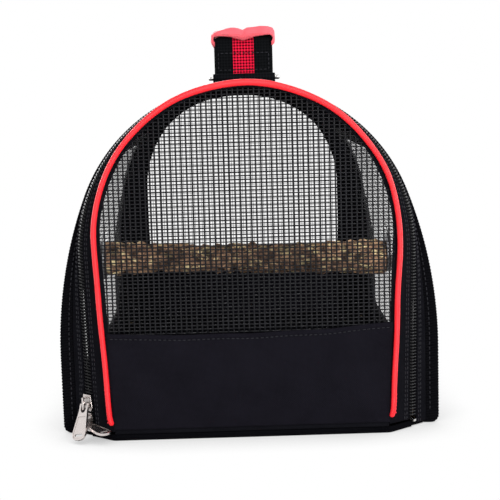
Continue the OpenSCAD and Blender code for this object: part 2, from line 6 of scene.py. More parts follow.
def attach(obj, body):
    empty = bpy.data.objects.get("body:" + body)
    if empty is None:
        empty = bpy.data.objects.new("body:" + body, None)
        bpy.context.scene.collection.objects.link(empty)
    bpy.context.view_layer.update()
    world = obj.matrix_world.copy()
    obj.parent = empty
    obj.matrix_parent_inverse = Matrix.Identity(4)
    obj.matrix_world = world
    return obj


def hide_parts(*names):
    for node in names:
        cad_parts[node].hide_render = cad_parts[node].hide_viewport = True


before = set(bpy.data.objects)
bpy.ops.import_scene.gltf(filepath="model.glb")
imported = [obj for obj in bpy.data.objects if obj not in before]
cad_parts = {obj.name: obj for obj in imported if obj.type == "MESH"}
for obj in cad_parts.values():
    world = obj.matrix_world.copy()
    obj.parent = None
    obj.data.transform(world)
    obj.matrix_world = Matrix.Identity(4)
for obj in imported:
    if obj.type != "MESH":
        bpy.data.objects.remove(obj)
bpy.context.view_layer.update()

# ---- Camera ----------------------------------------------------------------------------------
# The photograph was taken from in front of the door, at the height of the roof's crown,
# tipped down a little, with a long lens on a full-frame sensor.
pitch_down = np.radians(7.709)
yaw = np.radians(0.527)
roll = np.radians(1.597)
forward = np.array([np.sin(yaw) * np.cos(pitch_down), np.cos(yaw) * np.cos(pitch_down), -np.sin(pitch_down)])
level_right = np.array([np.cos(yaw), -np.sin(yaw), 0.0])
level_up = np.cross(level_right, forward)
right = np.cos(roll) * level_right - np.sin(roll) * level_up
up = np.sin(roll) * level_right + np.cos(roll) * level_up
camera_place = (-0.005139, -0.942710, 0.218446)


def stood(x_way, y_way, z_way, place):
    """Matrix that stands a camera or a lamp at a place, with its own x, y and z along three directions."""
    rows = np.column_stack([x_way, y_way, z_way, place]).tolist()
    return Matrix(rows + [[0, 0, 0, 1]])


lens = bpy.data.cameras.new("camera")
lens.lens = 88.27
lens.sensor_width = 36
lens.clip_start = 0.05
camera = bpy.data.objects.new("camera", lens)
camera.matrix_world = stood(right, up, -forward, camera_place)
bpy.context.collection.objects.link(camera)
bpy.context.scene.camera = camera
bpy.context.scene.view_settings.view_transform = "Standard"


# ---- Floor and light -------------------------------------------------------------------------
# A plain white sweep under soft studio light: the floor and the world show as white
# paper, and a contact shadow is painted on the floor where the carrier stands close to it.
def add(tree, kind, sockets=None, **settings):
    """Adds a shader node; a socket given as another node's output is linked, any other value is set."""
    made = tree.nodes.new(kind)
    for key, value in settings.items():
        setattr(made, key, value)
    for key, value in (sockets or {}).items():
        value = value.outputs[0] if isinstance(value, bpy.types.Node) else value
        if isinstance(value, bpy.types.NodeSocket):
            tree.links.new(value, made.inputs[key])
        else:
            made.inputs[key].default_value = value
    return made


def seen_directly(tree):
    """One for rays from the camera, a mirror or glass, and nought for the rays that light the object."""
    path = add(tree, "ShaderNodeLightPath")
    seen = path.outputs["Is Camera Ray"]
    for way in ("Is Glossy Ray", "Is Transmission Ray"):
        both = add(tree, "ShaderNodeMath", {0: seen, 1: path.outputs[way]}, operation="MAXIMUM")
        seen = both.outputs[0]
    return seen


world = bpy.data.worlds.new("studio")
world.use_nodes = True
sky = world.node_tree
sky.nodes.clear()
paper_white = add(sky, "ShaderNodeBackground", {"Color": (1, 1, 1, 1), "Strength": 1.0})
room_light = add(sky, "ShaderNodeBackground", {"Color": (0.98, 0.99, 1, 1), "Strength": 0.62})
sky_mix = add(sky, "ShaderNodeMixShader",
              {0: seen_directly(sky), 1: room_light.outputs[0], 2: paper_white.outputs[0]})
add(sky, "ShaderNodeOutputWorld", {0: sky_mix.outputs[0]})
bpy.context.scene.world = world

floor_mesh = bpy.data.meshes.new("floor")
floor_mesh.from_pydata([(-6, -6, 0), (6, -6, 0), (6, 6, 0), (-6, 6, 0)], [], [(0, 1, 2, 3)])
floor = bpy.data.objects.new("floor", floor_mesh)
bpy.context.collection.objects.link(floor)
paper = bpy.data.materials.new("white_paper")
paper.use_nodes = True
tree = paper.node_tree
tree.nodes.clear()
# Painted contact shadow: seen from the camera the floor glows white, darkened by how close the carrier is,
# not by the lamps.
closeness = add(tree, "ShaderNodeAmbientOcclusion", {"Distance": 0.05}, samples=8)
painted_contact_shadow = add(tree, "ShaderNodeMapRange", {0: closeness.outputs["AO"], 1: 0.0, 2: 0.85, 3: 0.42, 4: 1.0})
paper_seen = add(tree, "ShaderNodeEmission", {0: painted_contact_shadow.outputs[0], 1: 1.0})
paper_lit = add(tree, "ShaderNodeBsdfDiffuse", {0: (0.82, 0.82, 0.83, 1)})
paper_mix = add(tree, "ShaderNodeMixShader",
                {0: seen_directly(tree), 1: paper_lit.outputs[0], 2: paper_seen.outputs[0]})
add(tree, "ShaderNodeOutputMaterial", {0: paper_mix.outputs[0]})
floor_mesh.materials.append(paper)


def unit(v):
    """The same directions, each one long."""
    return v / np.maximum(np.linalg.norm(v, axis=-1, keepdims=True), 1e-9)


def softbox(name, place, aim_z, size, watts):
    """A square lamp of a given width at a place, which faces the carrier's middle line at a height."""
    lamp = bpy.data.lights.new(name, "AREA")
    lamp.size = size
    lamp.energy = watts
    stand = bpy.data.objects.new(name, lamp)
    back = unit(np.array(place) - [0, 0, aim_z])
    side = unit(np.cross([0, 0, 1.0], back))
    stand.matrix_world = stood(side, np.cross(back, side), back, place)
    bpy.context.collection.objects.link(stand)


softbox("key_light", (0.75, -1.15, 1.25), 0.12, 0.9, 11.0)
softbox("front_light", (0.62, -1.75, 0.34), 0.09, 0.6, 20.0)
softbox("fill_light", (-1.0, -1.25, 0.8), 0.12, 1.0, 7.0)
softbox("back_light", (-0.3, 1.6, 0.9), 0.12, 1.0, 20.0)
softbox("right_light", (1.7, 0.4, 0.6), 0.12, 1.0, 20.0)
softbox("left_light", (-1.45, 1.1, 0.5), 0.12, 1.0, 18.0)


# ---- Bottom panel and base board -------------------------------------------------------------
# The floor of the carrier: a long panel of black oxford cloth that narrows to both ends,
# sewn to the walls and the end gussets, with a fibreboard on it that keeps it flat.
def quads(n, m, close_n=False, close_m=False):
    """Four corners of every cell of an n by m grid of points, going round where a side is closed,
    and the same corners as plain row and column counts for the cloth pattern."""
    rows = n if close_n else n - 1
    columns = m if close_m else m - 1
    i, j = np.meshgrid(np.arange(rows), np.arange(columns), indexing="ij")
    i, j = i.ravel(), j.ravel()
    row = np.stack([i, i + 1, i + 1, i], 1)
    column = np.stack([j, j, j + 1, j + 1], 1)
    return (row % n) * m + column % m, row, column


def build(name, points, faces, body, finish, uv=None, smooth=True):
    """A piece from points in millimetres and a list of arrays of faces, turned outwards if it is closed.
    uv holds, for each array of faces, the place of each corner on the cloth in millimetres."""
    points = np.asarray(points, float).reshape(-1, 3)
    triangles = [points[f[:, [0, k, k + 1]]] for f in faces for k in range(1, f.shape[1] - 1)]
    volume = sum(float((t[:, 0] * np.cross(t[:, 1], t[:, 2])).sum()) for t in triangles)
    if volume < 0:
        faces = [f[:, ::-1] for f in faces]
        uv = None if uv is None else [u[:, ::-1] for u in uv]
    mesh = bpy.data.meshes.new(name)
    mesh.vertices.add(len(points))
    mesh.vertices.foreach_set("co", (points * 0.001).ravel())
    corners = np.concatenate([f.ravel() for f in faces])
    sizes = np.concatenate([np.full(len(f), f.shape[1]) for f in faces])
    mesh.loops.add(len(corners))
    mesh.loops.foreach_set("vertex_index", corners.astype(np.int32))
    mesh.polygons.add(len(sizes))
    mesh.polygons.foreach_set("loop_start", (np.cumsum(sizes) - sizes).astype(np.int32))
    mesh.polygons.foreach_set("use_smooth", np.full(len(sizes), smooth))
    if uv is not None:
        layer = mesh.uv_layers.new(name="cloth")
        layer.data.foreach_set("uv", np.concatenate([u.reshape(-1, 2) for u in uv]).ravel().astype(float))
    mesh.update(calc_edges=True)
    mesh.validate()
    piece = bpy.data.objects.new(name, mesh)
    bpy.context.collection.objects.link(piece)
    mesh.materials.append(finish)
    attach(piece, body)
    return piece


def loft(name, rings, body, finish, around=False, across=None):
    """A closed piece from a row of closed cross-sections, points (n, m, 3). Its two ends are filled like
    a ladder between the first and second half of their section, or joined to each other where it goes
    around. across holds the cloth's lengths over a section in millimetres, where they aren't measured."""
    rings = np.asarray(rings, float)
    n, m = rings.shape[:2]
    step_m = np.linalg.norm(np.roll(rings, -1, 1) - rings, axis=2)
    step_n = np.linalg.norm(np.diff(rings, axis=0, append=rings[:1]), axis=2).mean(1)
    v = np.concatenate([[0], np.cumsum(step_m.mean(0))]) if across is None else across
    u = np.concatenate([[0], np.cumsum(step_n)])
    face, row, column = quads(n, m, around, True)
    faces = [face]
    uv = [np.stack([u[row], v[column]], 2)]
    points = rings.reshape(-1, 3)
    if not around:
        j = np.arange(m // 2 - 1)
        rung = np.stack([j, j + 1, m - 2 - j, m - 1 - j], 1)
        faces += [rung, (n - 1) * m + rung[:, ::-1]]
        uv.append(np.stack([0 * v[rung] + u[0], v[rung]], 2))
        uv.append(np.stack([0 * v[rung] + u[n - 1], v[rung[:, ::-1]]], 2))
    return build(name, points, faces, body, finish, uv)


def smooth_step(x):
    """Nought below nought, one above one, and a smooth rise between them."""
    x = np.clip(x, 0, 1)
    return x * x * (3 - 2 * x)


def ripple(u, v, seed, length):
    """Slow uneven waves of a pulled cloth: the sum of five crossing sine waves of about one length, each
    with its own heading and start, over the square root of their number."""
    count = 5
    chance = np.random.default_rng(seed)
    turns = chance.uniform(0, np.pi, count)
    starts = chance.uniform(0, 6.28, count)
    stretches = chance.uniform(0.7, 1.5, count)
    total = 0
    for turn, start, stretch in zip(turns, starts, stretches):
        wave = 2 * np.pi / (length * stretch)
        total = total + np.sin((u * np.cos(turn) + v * np.sin(turn)) * wave + start)
    return total / np.sqrt(count)


def finish_of(name, colour, roughness, specular=0.3, metallic=0.0):
    """A material with its shader's plain values, and its node tree."""
    made = bpy.data.materials.new(name)
    made.use_nodes = True
    shader = made.node_tree.nodes["Principled BSDF"]
    shader.inputs["Base Color"].default_value = (*colour, 1)
    shader.inputs["Roughness"].default_value = roughness
    shader.inputs["Specular IOR Level"].default_value = specular
    shader.inputs["Metallic"].default_value = metallic
    return made, made.node_tree, shader


def shade(*srgb):
    """A colour read as 0 to 255 numbers off a screen, as the shader wants it."""
    c = np.array(srgb, float) / 255
    return tuple(float(x) for x in np.where(c <= 0.04045, c / 12.92, ((c + 0.055) / 1.055) ** 2.4))


def maths(tree, operation, a, b=0.0, c=0.0):
    """One step of reckoning in a shader."""
    return add(tree, "ShaderNodeMath", {0: a, 1: b, 2: c}, operation=operation).outputs[0]


def grains(tree, place, scale, detail, **others):
    """Noise over a place, from about 0.3 to 0.7."""
    sockets = {"Vector": place, "Scale": scale, "Detail": detail, **others}
    return add(tree, "ShaderNodeTexNoise", sockets).outputs[0]


def blend(tree, factor, low, high, **settings):
    """A colour that is low where the factor is nought and high where it is one."""
    ends = [c if isinstance(c, bpy.types.NodeSocket) else (*c, 1) for c in (low, high)]
    sockets = {"Factor": factor, 6: ends[0], 7: ends[1]}
    return add(tree, "ShaderNodeMix", sockets, data_type="RGBA", **settings).outputs[2]


def remap(tree, value, low, high, start=0.0, end=1.0):
    """A value that goes from low to high while the given one goes from start to end."""
    return add(tree, "ShaderNodeMapRange", {0: value, 1: start, 2: end, 3: low, 4: high}).outputs[0]


def surface(tree, shader, colour, height=None, strength=1.0, depth=0.0, roughness=None):
    """Gives the shader its colour, the relief of a height, depth metres deep, and its roughness."""
    tree.links.new(colour, shader.inputs["Base Color"])
    if roughness is not None:
        tree.links.new(roughness, shader.inputs["Roughness"])
    if height is not None:
        bump = add(tree, "ShaderNodeBump", {"Height": height, "Strength": strength, "Distance": depth})
        tree.links.new(bump.outputs[0], shader.inputs["Normal"])


def sheen(shader, weight, **others):
    """Light caught by the fibres that stand up from a cloth; others are its Roughness and Tint."""
    shader.inputs["Sheen Weight"].default_value = weight
    for word, value in others.items():
        shader.inputs[f"Sheen {word}"].default_value = value


def cloth_lengths(tree):
    """The cloth's own lengths in millimetres: both together, then along the piece and across it."""
    cloth = add(tree, "ShaderNodeUVMap", uv_map="cloth").outputs[0]
    split = add(tree, "ShaderNodeSeparateXYZ", {0: cloth})
    return cloth, split.outputs[0], split.outputs[1]


def plain_weave(tree, pitch):
    """Height of a plain weave from the cloth's own lengths: rounded threads of one pitch that run along
    the piece where the product of the two sines is positive, and across it where it is negative."""
    cloth, along, across = cloth_lengths(tree)
    sway = maths(tree, "MULTIPLY_ADD", grains(tree, cloth, 0.11, 2.0), 0.9, -0.45)
    over = maths(tree, "SINE", maths(tree, "MULTIPLY_ADD", along, np.pi / pitch, sway))
    under = maths(tree, "SINE", maths(tree, "MULTIPLY_ADD", across, np.pi / pitch, sway))
    warp = maths(tree, "ABSOLUTE", over)
    weft = maths(tree, "ABSOLUTE", under)
    chosen = maths(tree, "GREATER_THAN", maths(tree, "MULTIPLY", over, under), 0.0)
    height = add(tree, "ShaderNodeMix", {"Factor": chosen, 2: warp, 3: weft}, data_type="FLOAT")
    return height.outputs[0], cloth


def black_cloth(name, dark, light, pitch, roughness=0.82, sheen_weight=0.002):
    """Woven black cloth: the colour goes from dark between the threads to light on their crowns, which is
    painted shade and painted highlight that follow the weave's height, with slow patches of wear, and the
    threads stand up from the surface."""
    made, tree, shader = finish_of(name, dark, roughness, 0.0)
    height, cloth = plain_weave(tree, pitch)
    patches = grains(tree, cloth, 0.035, 5.0, Roughness=0.6)
    # The weave's height paints shade between the threads and highlight on their crowns; the patches are wear.
    tone = maths(tree, "ADD", height, maths(tree, "MULTIPLY_ADD", patches, 0.9, -0.45))
    raised = maths(tree, "MULTIPLY_ADD", grains(tree, cloth, 2.2, 3.0), 0.35, height)
    colour = blend(tree, tone, dark, light, clamp_factor=True)
    rough = remap(tree, patches, roughness - 0.08, roughness + 0.1)
    surface(tree, shader, colour, raised, 0.55, 0.00022, rough)
    sheen(shader, sheen_weight, Roughness=0.5)
    return made


def repaint(cad, finish):
    """Gives a CAD node that the scene keeps as it is a finish from this script."""
    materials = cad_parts[cad].data.materials
    materials.clear()
    materials.append(finish)


oxford = black_cloth("black_oxford", shade(3, 3, 4), shade(20, 20, 24), 0.72)
base_oxford = black_cloth("base_oxford", shade(2, 2, 3), shade(12, 12, 15), 0.8)

bottom_y = np.array([-196.6, -193, -188, -186.3, -178.6, 178.6, 190, 197.6])
bottom_w = np.array([85.2, 89.8, 95.6, 99.6, 109.6, 109.6, 97.5, 88.5])
y = np.concatenate([np.linspace(-196.6, -178.6, 20), np.linspace(-170, 170, 40),
                    np.linspace(178.6, 197.6, 16)])
half = np.interp(y, bottom_y, bottom_w)
u = np.concatenate([np.linspace(-1, 1, 40), [1.004, 1.004], np.linspace(1, -1, 40), [-1.004, -1.004]])
h = np.concatenate([np.full(40, 0.05), [0.5, 1.5], np.full(40, 2.0), [1.5, 0.5]])
bottom = np.stack(np.broadcast_arrays(half[:, None] * u, y[:, None], h), 2)
slack = 0.125 * (1 + ripple(bottom[..., 0], bottom[..., 1], 3, 60))
bottom[..., 2] -= slack * (h > 1)
bottom_panel = loft("bottom_cloth", bottom, "carrier", base_oxford)
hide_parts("bottom_panel")

board, tree, shader = finish_of("fibreboard", shade(120, 98, 74), 0.85, 0.2)
place = add(tree, "ShaderNodeTexCoord").outputs["Object"]
flecks = grains(tree, place, 420.0, 4.0)
surface(tree, shader, blend(tree, flecks, shade(92, 74, 55), shade(140, 118, 90)))
repaint("base_board", board)


# ---- Front base band -------------------------------------------------------------------------
# A folded strip of the same cloth round the foot of the door opening, from one end of the
# zip to the other; the door's hem turns behind it.
def far_along(line):
    """Length along a line from its first point to each of its points."""
    return np.concatenate([[0], np.cumsum(np.linalg.norm(np.diff(line, axis=0), axis=1))])


def evenly(line, count, closed=True):
    """A line in the plane or in space, with its points moved to equal steps along it."""
    if closed:
        line = np.concatenate([line, line[:1]])
    far = far_along(line)
    want = np.linspace(0, far[-1], count, endpoint=not closed)
    return np.stack([np.interp(want, far, line[:, k]) for k in range(line.shape[1])], 1)


def squared(turn, power):
    """Round section drawn out towards four corners: the cosine and the sine of each turn, to a power."""
    c, s = np.cos(turn), np.sin(turn)
    return np.sign(c) * np.abs(c) ** power, np.sign(s) * np.abs(s) ** power


plan = np.array([[-101.2, -187.6], [-86.6, -199.7], [0, -200.0], [86.6, -199.7], [101.2, -187.6]])
foot = evenly(plan, 240, closed=False)
far = np.linspace(0, far_along(plan)[-1], 240)
kernel = np.hanning(11) / np.hanning(11).sum()
foot[:, 1] = np.convolve(np.pad(foot[:, 1], 5, mode="edge"), kernel, "valid")
tangent = unit(np.gradient(foot, axis=0))
outward = np.stack([tangent[:, 1], -tangent[:, 0]], 1)
corner_w, corner_h = squared(np.linspace(0, 2 * np.pi, 20, endpoint=False), 0.5)
puckered = 0.12 * np.sin(far * 2 * np.pi / 6.3) + 0.15 * ripple(far, far * 0, 11, 40)
thick = 0.85 + 0.12 * puckered
deep = -0.95 + thick[:, None] * corner_w * 0.95
tall = 2.02 + (1.95 + 0.05 * puckered[:, None]) * corner_h
band = np.stack([foot[:, :1] + outward[:, :1] * deep, foot[:, 1:] + outward[:, 1:] * deep, tall], 2)
base_band = loft("front_base_band_cloth", band, "carrier", base_oxford)
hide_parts("front_base_band")


# ---- Floor mat -------------------------------------------------------------------------------
# A loose black mat on the base board: a thin foam pad in oxford cloth with a rolled edge
# and a crown that is slack in the middle.
top_in = np.linspace(106, 4, 34)
edge_in = [2.2, 1.0, 0.25, 0.0, 0.25, 1.0, 2.2]
edge_z = [7.9, 7.5, 6.8, 6.1, 5.3, 4.4, 3.8]
grow_in = np.concatenate([top_in, edge_in, np.linspace(5, 106, 12)])
crown = np.concatenate([8.9 - 0.9 * (1 - top_in / 106) ** 3, edge_z, np.full(12, 3.6)])
corner_x, corner_y = squared(np.linspace(0, 2 * np.pi, 160, endpoint=False), 0.26)
mat_x = corner_x[:, None] * np.maximum(108.2 - grow_in, 0.4)
mat_y = corner_y[:, None] * np.maximum(174.2 - grow_in, 0.4)
on_top = crown > 7
lump = 0.35 * ripple(mat_x, mat_y, 21, 55) * smooth_step(grow_in / 20) * on_top
channel = 0.8 * np.exp(-((grow_in - 9.0) / 1.3) ** 2) * on_top
mat_z = np.minimum(crown + lump - channel, 8.95)
mat = loft("floor_mat_pad", np.stack([mat_x, mat_y, mat_z], 2).transpose(1, 0, 2), "carrier", base_oxford)
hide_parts("floor_mat")


# ---- Tunnel walls ----------------------------------------------------------------------------
# Two side walls of padded oxford cloth, each one piece with a large rounded window cut in
# it. They are sewn to the bottom panel, to the roof along the shoulder and to the rims.
def bulged(r, top, wide, wide_z):
    """Arch outline as (crown radius, crown centre height, angle where the side arc takes over, side arc
    radius, lean of the legs); the side arc is tangent to the crown and widest at wide_z."""
    centre = top - r
    drop = centre - wide_z
    r2 = (wide * wide + drop * drop - r * r) / (2 * (wide - r))
    return r, centre, np.arctan2(drop, r2 - wide), r2, 0.0


def grown(o, d):
    """The same outline set off by d millimetres."""
    return o[0] + d, o[1], o[2], o[3] + d, o[4]


def half_width(o, z):
    """Half the width of an outline at height z: on its crown circle, its side arc or its straight leg."""
    r, centre, e, r2, lean = o
    side_x, side_z = -(r2 - r) * np.cos(e), centre - (r2 - r) * np.sin(e)
    leg_x, leg_z = side_x + r2 * np.cos(lean), side_z + r2 * np.sin(lean)
    crown_x = np.sqrt(np.maximum(0, r * r - (z - centre) ** 2))
    arc_x = side_x + np.sqrt(np.maximum(0, r2 * r2 - (z - side_z) ** 2))
    straight = leg_x + (leg_z - z) * np.tan(lean)
    return np.where(z >= centre + r * np.sin(e), crown_x, np.where(z >= leg_z, arc_x, straight))


crown_r = 107.5
wall = bulged(crown_r, 219.5, 112.5, 57)
rim = bulged(108.5, 220, 120.3, 50)
piping = (93.3, 126.5, 0.0, 400.0, np.radians(-2.9))
track = (103.5, 115.5, 0.0, 103.5, np.radians(-1.0))
hub_z = track[1]
run = 2 * hub_z + np.pi * track[0]


def arch_at(o, s):
    """Point (x, z) of an outline at station s along the zip: the height on the right leg, then the turn
    round the hub of the zip's crown, then the way down the left leg."""
    s = np.asarray(s, float)
    t = np.where(s > run / 2, run - s, s)
    a = np.clip((t - hub_z) / track[0], 0, None)

    def ray(cx, cz, r):
        """How far from the hub a circle about (cx, cz) is met, along each station's direction."""
        p = cx * np.cos(a) + (cz - hub_z) * np.sin(a)
        return p + np.sqrt(np.maximum(p * p - cx * cx - (cz - hub_z) ** 2 + r * r, 0))

    r, centre, e, r2, lean = o
    far = ray(0, centre, r)
    side = ray(-(r2 - r) * np.cos(e), centre - (r2 - r) * np.sin(e), r2)
    far = np.where(hub_z + far * np.sin(a) >= centre + r * np.sin(e), far, side)
    x = np.where(t <= hub_z, half_width(o, t), far * np.cos(a))
    z = np.where(t <= hub_z, t, hub_z + far * np.sin(a))
    return np.where(s > run / 2, -x, x), z


def arch_line(o, s, y):
    """The same point in space, at depth y."""
    x, z = arch_at(o, s)
    return np.stack([x, np.broadcast_to(np.asarray(y, float), x.shape), z], -1)


# Corner arcs of a side window, two below and two above: how far from the middle their centres
# stand, the height of the centres and the radius; then the window's half length, foot and head.
low_y, low_z, low_r = 98, 74, 50
high_y, high_z, high_r = 118, 144, 30
window_end = high_y + high_r
window_foot = low_z - low_r
window_head = high_z + high_r


def window_half(z):
    """Half length of a side window at height z."""
    low = low_y + np.sqrt(np.maximum(0, low_r ** 2 - np.maximum(0, low_z - z) ** 2))
    high = high_y + np.sqrt(np.maximum(0, high_r ** 2 - np.maximum(0, z - high_z) ** 2))
    return np.where(z < low_z, low, high)


def window_low(y):
    """Height of the window's lower edge at y."""
    return low_z - np.sqrt(np.maximum(0, low_r ** 2 - np.maximum(0, np.abs(y) - low_y) ** 2))


def window_high(y):
    """Height of the window's upper edge at y."""
    return high_z + np.sqrt(np.maximum(0, high_r ** 2 - np.maximum(0, np.abs(y) - high_y) ** 2))


def rounded_corner(y, z, r, start):
    """Quarter of a circle about a corner's centre, from a given angle."""
    a = start + np.linspace(0, np.pi / 2, 26)
    return np.stack([y + r * np.cos(a), z + r * np.sin(a)], 1)


edge_points = 500
window_edge = evenly(np.concatenate([
    rounded_corner(high_y, high_z, high_r, 0),
    rounded_corner(-high_y, high_z, high_r, np.pi / 2),
    rounded_corner(-low_y, low_z, low_r, np.pi),
    rounded_corner(low_y, low_z, low_r, -np.pi / 2)]), edge_points)
edge_way = np.roll(window_edge, -1, 0) - np.roll(window_edge, 1, 0)
edge_out = unit(np.stack([edge_way[:, 1], -edge_way[:, 0]], 1))
edge_far = np.arange(edge_points) * np.linalg.norm(window_edge[1] - window_edge[0])


def on_wall(side, y, z, depth):
    """Point of a side wall at y and z, depth millimetres under its outer face."""
    x = half_width(wall, z) - depth
    return np.stack(np.broadcast_arrays(side * x, y, z), -1)


# Each point of the window's edge is drawn straight out from the window's middle to the wall's own edge.
wall_end = 175.9
wall_top = 180
wall_foot = 0.1
middle = np.array([0.0, 98.0])
spoke = window_edge - middle
to_side = wall_end / np.maximum(np.abs(spoke[:, 0]), 1e-6)
to_level = np.where(spoke[:, 1] > 0, wall_top - middle[1], middle[1] - wall_foot)
to_level = to_level / np.maximum(np.abs(spoke[:, 1]), 1e-6)
wall_edge = middle + spoke * np.minimum(to_side, to_level)[:, None]
for corner in ([wall_end, wall_top], [-wall_end, wall_top], [-wall_end, wall_foot], [wall_end, wall_foot]):
    wall_edge[np.argmin(np.linalg.norm(wall_edge - corner, axis=1))] = corner
# The wall's points go out over its outer face in 30 steps and come back over its inner face in 12.
share = np.concatenate([np.linspace(0, 1, 30), np.linspace(1, 0, 12)])
inner_face = np.arange(42) >= 30
border = wall_edge - window_edge
mean_border = 66
cloth_over = np.concatenate([[0], np.cumsum(np.abs(np.diff(share)) * mean_border), [140]])
wall_y = window_edge[:, :1] + border[:, :1] * share
wall_z = window_edge[:, 1:] + border[:, 1:] * share
from_window = np.hypot(wall_y - window_edge[:, :1], wall_z - window_edge[:, 1:])
from_edge = np.minimum(np.minimum(176 - np.abs(wall_y), wall_top - wall_z), wall_z + 4)
slack = smooth_step(from_window / 14) * smooth_step(from_edge / 12)
for side, word in ((-1, "left"), (1, "right")):
    swell = slack * (0.35 - 0.45 * ripple(wall_y, wall_z, 30 + side, 70))
    pucker = 0.16 * np.sin(edge_far[:, None] * 2 * np.pi / 8.5) * np.exp(-from_window / 9)
    depth = np.where(inner_face, 2.4 - 0.2 * slack, -swell - pucker + 0.12)
    skin = on_wall(side, wall_y, np.clip(wall_z, wall_foot, wall_top), depth)
    panel = loft(f"{word}_wall_cloth", skin, "carrier", oxford, around=True, across=cloth_over)
    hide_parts(f"{word}_wall")


# ---- Side window nets ------------------------------------------------------------------------
# Black vinyl-coated polyester net behind each window: upright wires, with cross wires that
# pass in front of and behind them in turn, welded where they touch.
def tubes(paths, radius, over, sides, wide):
    """Round threads along many paths at once, points (k, n, 3). over is the direction that the thread's
    width lies square to; each thread keeps one heading. Where the radius falls to nought it is closed."""
    paths = np.asarray(paths, float)
    radius = np.broadcast_to(radius, paths.shape[:2])
    ahead = unit(paths[:, -1] - paths[:, 0])[:, None]
    over = unit(np.broadcast_to(over, paths.shape))
    beside = unit(np.cross(ahead, over))
    lift = unit(np.cross(beside, ahead))
    a = np.arange(sides) * 2 * np.pi / sides
    around = (beside[:, :, None] * (wide * np.cos(a))[:, None] + lift[:, :, None] * np.sin(a)[:, None])
    points = paths[:, :, None] + around * radius[:, :, None, None]
    k, n = paths.shape[:2]
    faces = (np.arange(k) * n * sides)[:, None, None] + quads(n, sides, False, True)[0]
    moves_on = np.linalg.norm(np.diff(paths, axis=1), axis=2) > 1e-6
    narrows = np.abs(np.diff(radius, axis=1)) > 1e-6
    kept = np.repeat((moves_on | narrows)[:, :, None], sides, 2).reshape(k, -1)
    used, faces = np.unique(faces[kept], return_inverse=True)
    return points.reshape(-1, 3)[used], faces.reshape(-1, 4)


def wires(low, high, step, phase, sway):
    """Wires of a net, one a row: the places along each where it meets the crossing wires and half way
    between, kept from low to high, its rise and fall there, and its thickness, nought past either end."""
    n = int(np.ceil((high.max() - low.min()) / step)) + 4
    turn = np.floor(low.min() / step).astype(int) - 2 + np.arange(n)
    t = np.clip(turn[None] * step, low[:, None], high[:, None])
    rise = sway * np.cos(np.pi * turn[None] / 2 + np.pi * phase[:, None])
    still = np.abs(np.diff(t, axis=1)) < 1e-9
    before = np.concatenate([np.cumprod(still, 1), np.zeros((len(t), 1))], 1) > 0
    after = np.concatenate([np.zeros((len(t), 1)), np.cumprod(still[:, ::-1], 1)[:, ::-1]], 1) > 0
    return t, rise, np.where(before | after, 0.0, 1.0)


def net_piece(name, uprights, crosses, body):
    """A net of two sets of wires, each given as its points and its faces."""
    (points_a, faces_a), (points_b, faces_b) = uprights, crosses
    points = np.concatenate([points_a, points_b])
    return build(name, points, [np.concatenate([faces_a, faces_b + len(points_a)])], body, net_finish)


net_finish, tree, shader = finish_of("black_net", shade(13, 13, 15), 0.42, 0.14)
place = add(tree, "ShaderNodeTexCoord").outputs["Object"]
tone = blend(tree, grains(tree, place, 60.0, 3.0), shade(9, 9, 11), shade(21, 21, 25))
surface(tree, shader, tone, grains(tree, place, 1400.0, 2.0), 0.3, 0.0001)

upright_pitch = 3.22
cross_pitch = 2.24
upright_step = 5.0
tucked = 2.4
perch_z = 86
wire_sides = 5
columns = np.arange(-46, 47)
levels = np.arange(10, 79)
up_y = columns * upright_pitch
low = window_low(up_y) - tucked
high = window_high(up_y) + tucked
up_z, up_rise, up_thick = wires(low, high, upright_step, columns % 2, 0.0)
cross_z = levels * cross_pitch
reach_y = window_half(cross_z) + tucked
cross_y, cross_rise, cross_thick = wires(-reach_y, reach_y, upright_pitch / 2, levels % 2, 0.11)
for side, word in ((-1, "left"), (1, "right")):
    meshes = []
    for y, z, rise, thick, size, wide in (
            (up_y[:, None], up_z, up_rise, up_thick, 0.06, 6.6),
            (cross_y, cross_z[:, None], cross_rise, cross_thick, 0.08, 3.5)):
        clamp = smooth_step((25 - np.hypot(y, z - perch_z)) / 9)
        x = half_width(wall, z) * (1 - clamp) + half_width(wall, perch_z) * clamp - 1.2
        share_y = np.clip((y + window_end) / (2 * window_end), 0, 1)
        share_z = np.clip((z - window_foot) / (window_head - window_foot), 0, 1)
        sag = 0.5 * np.sin(np.pi * share_y) * np.sin(np.pi * share_z)
        path = np.stack(np.broadcast_arrays(side * (x - sag * (1 - clamp) + rise), y, z), -1)
        meshes.append(tubes(path, size * thick, [side, 0, 0], wire_sides, wide))
    net = net_piece(f"{word}_window_net", *meshes, "carrier")
    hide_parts(f"{word}_window_mesh")


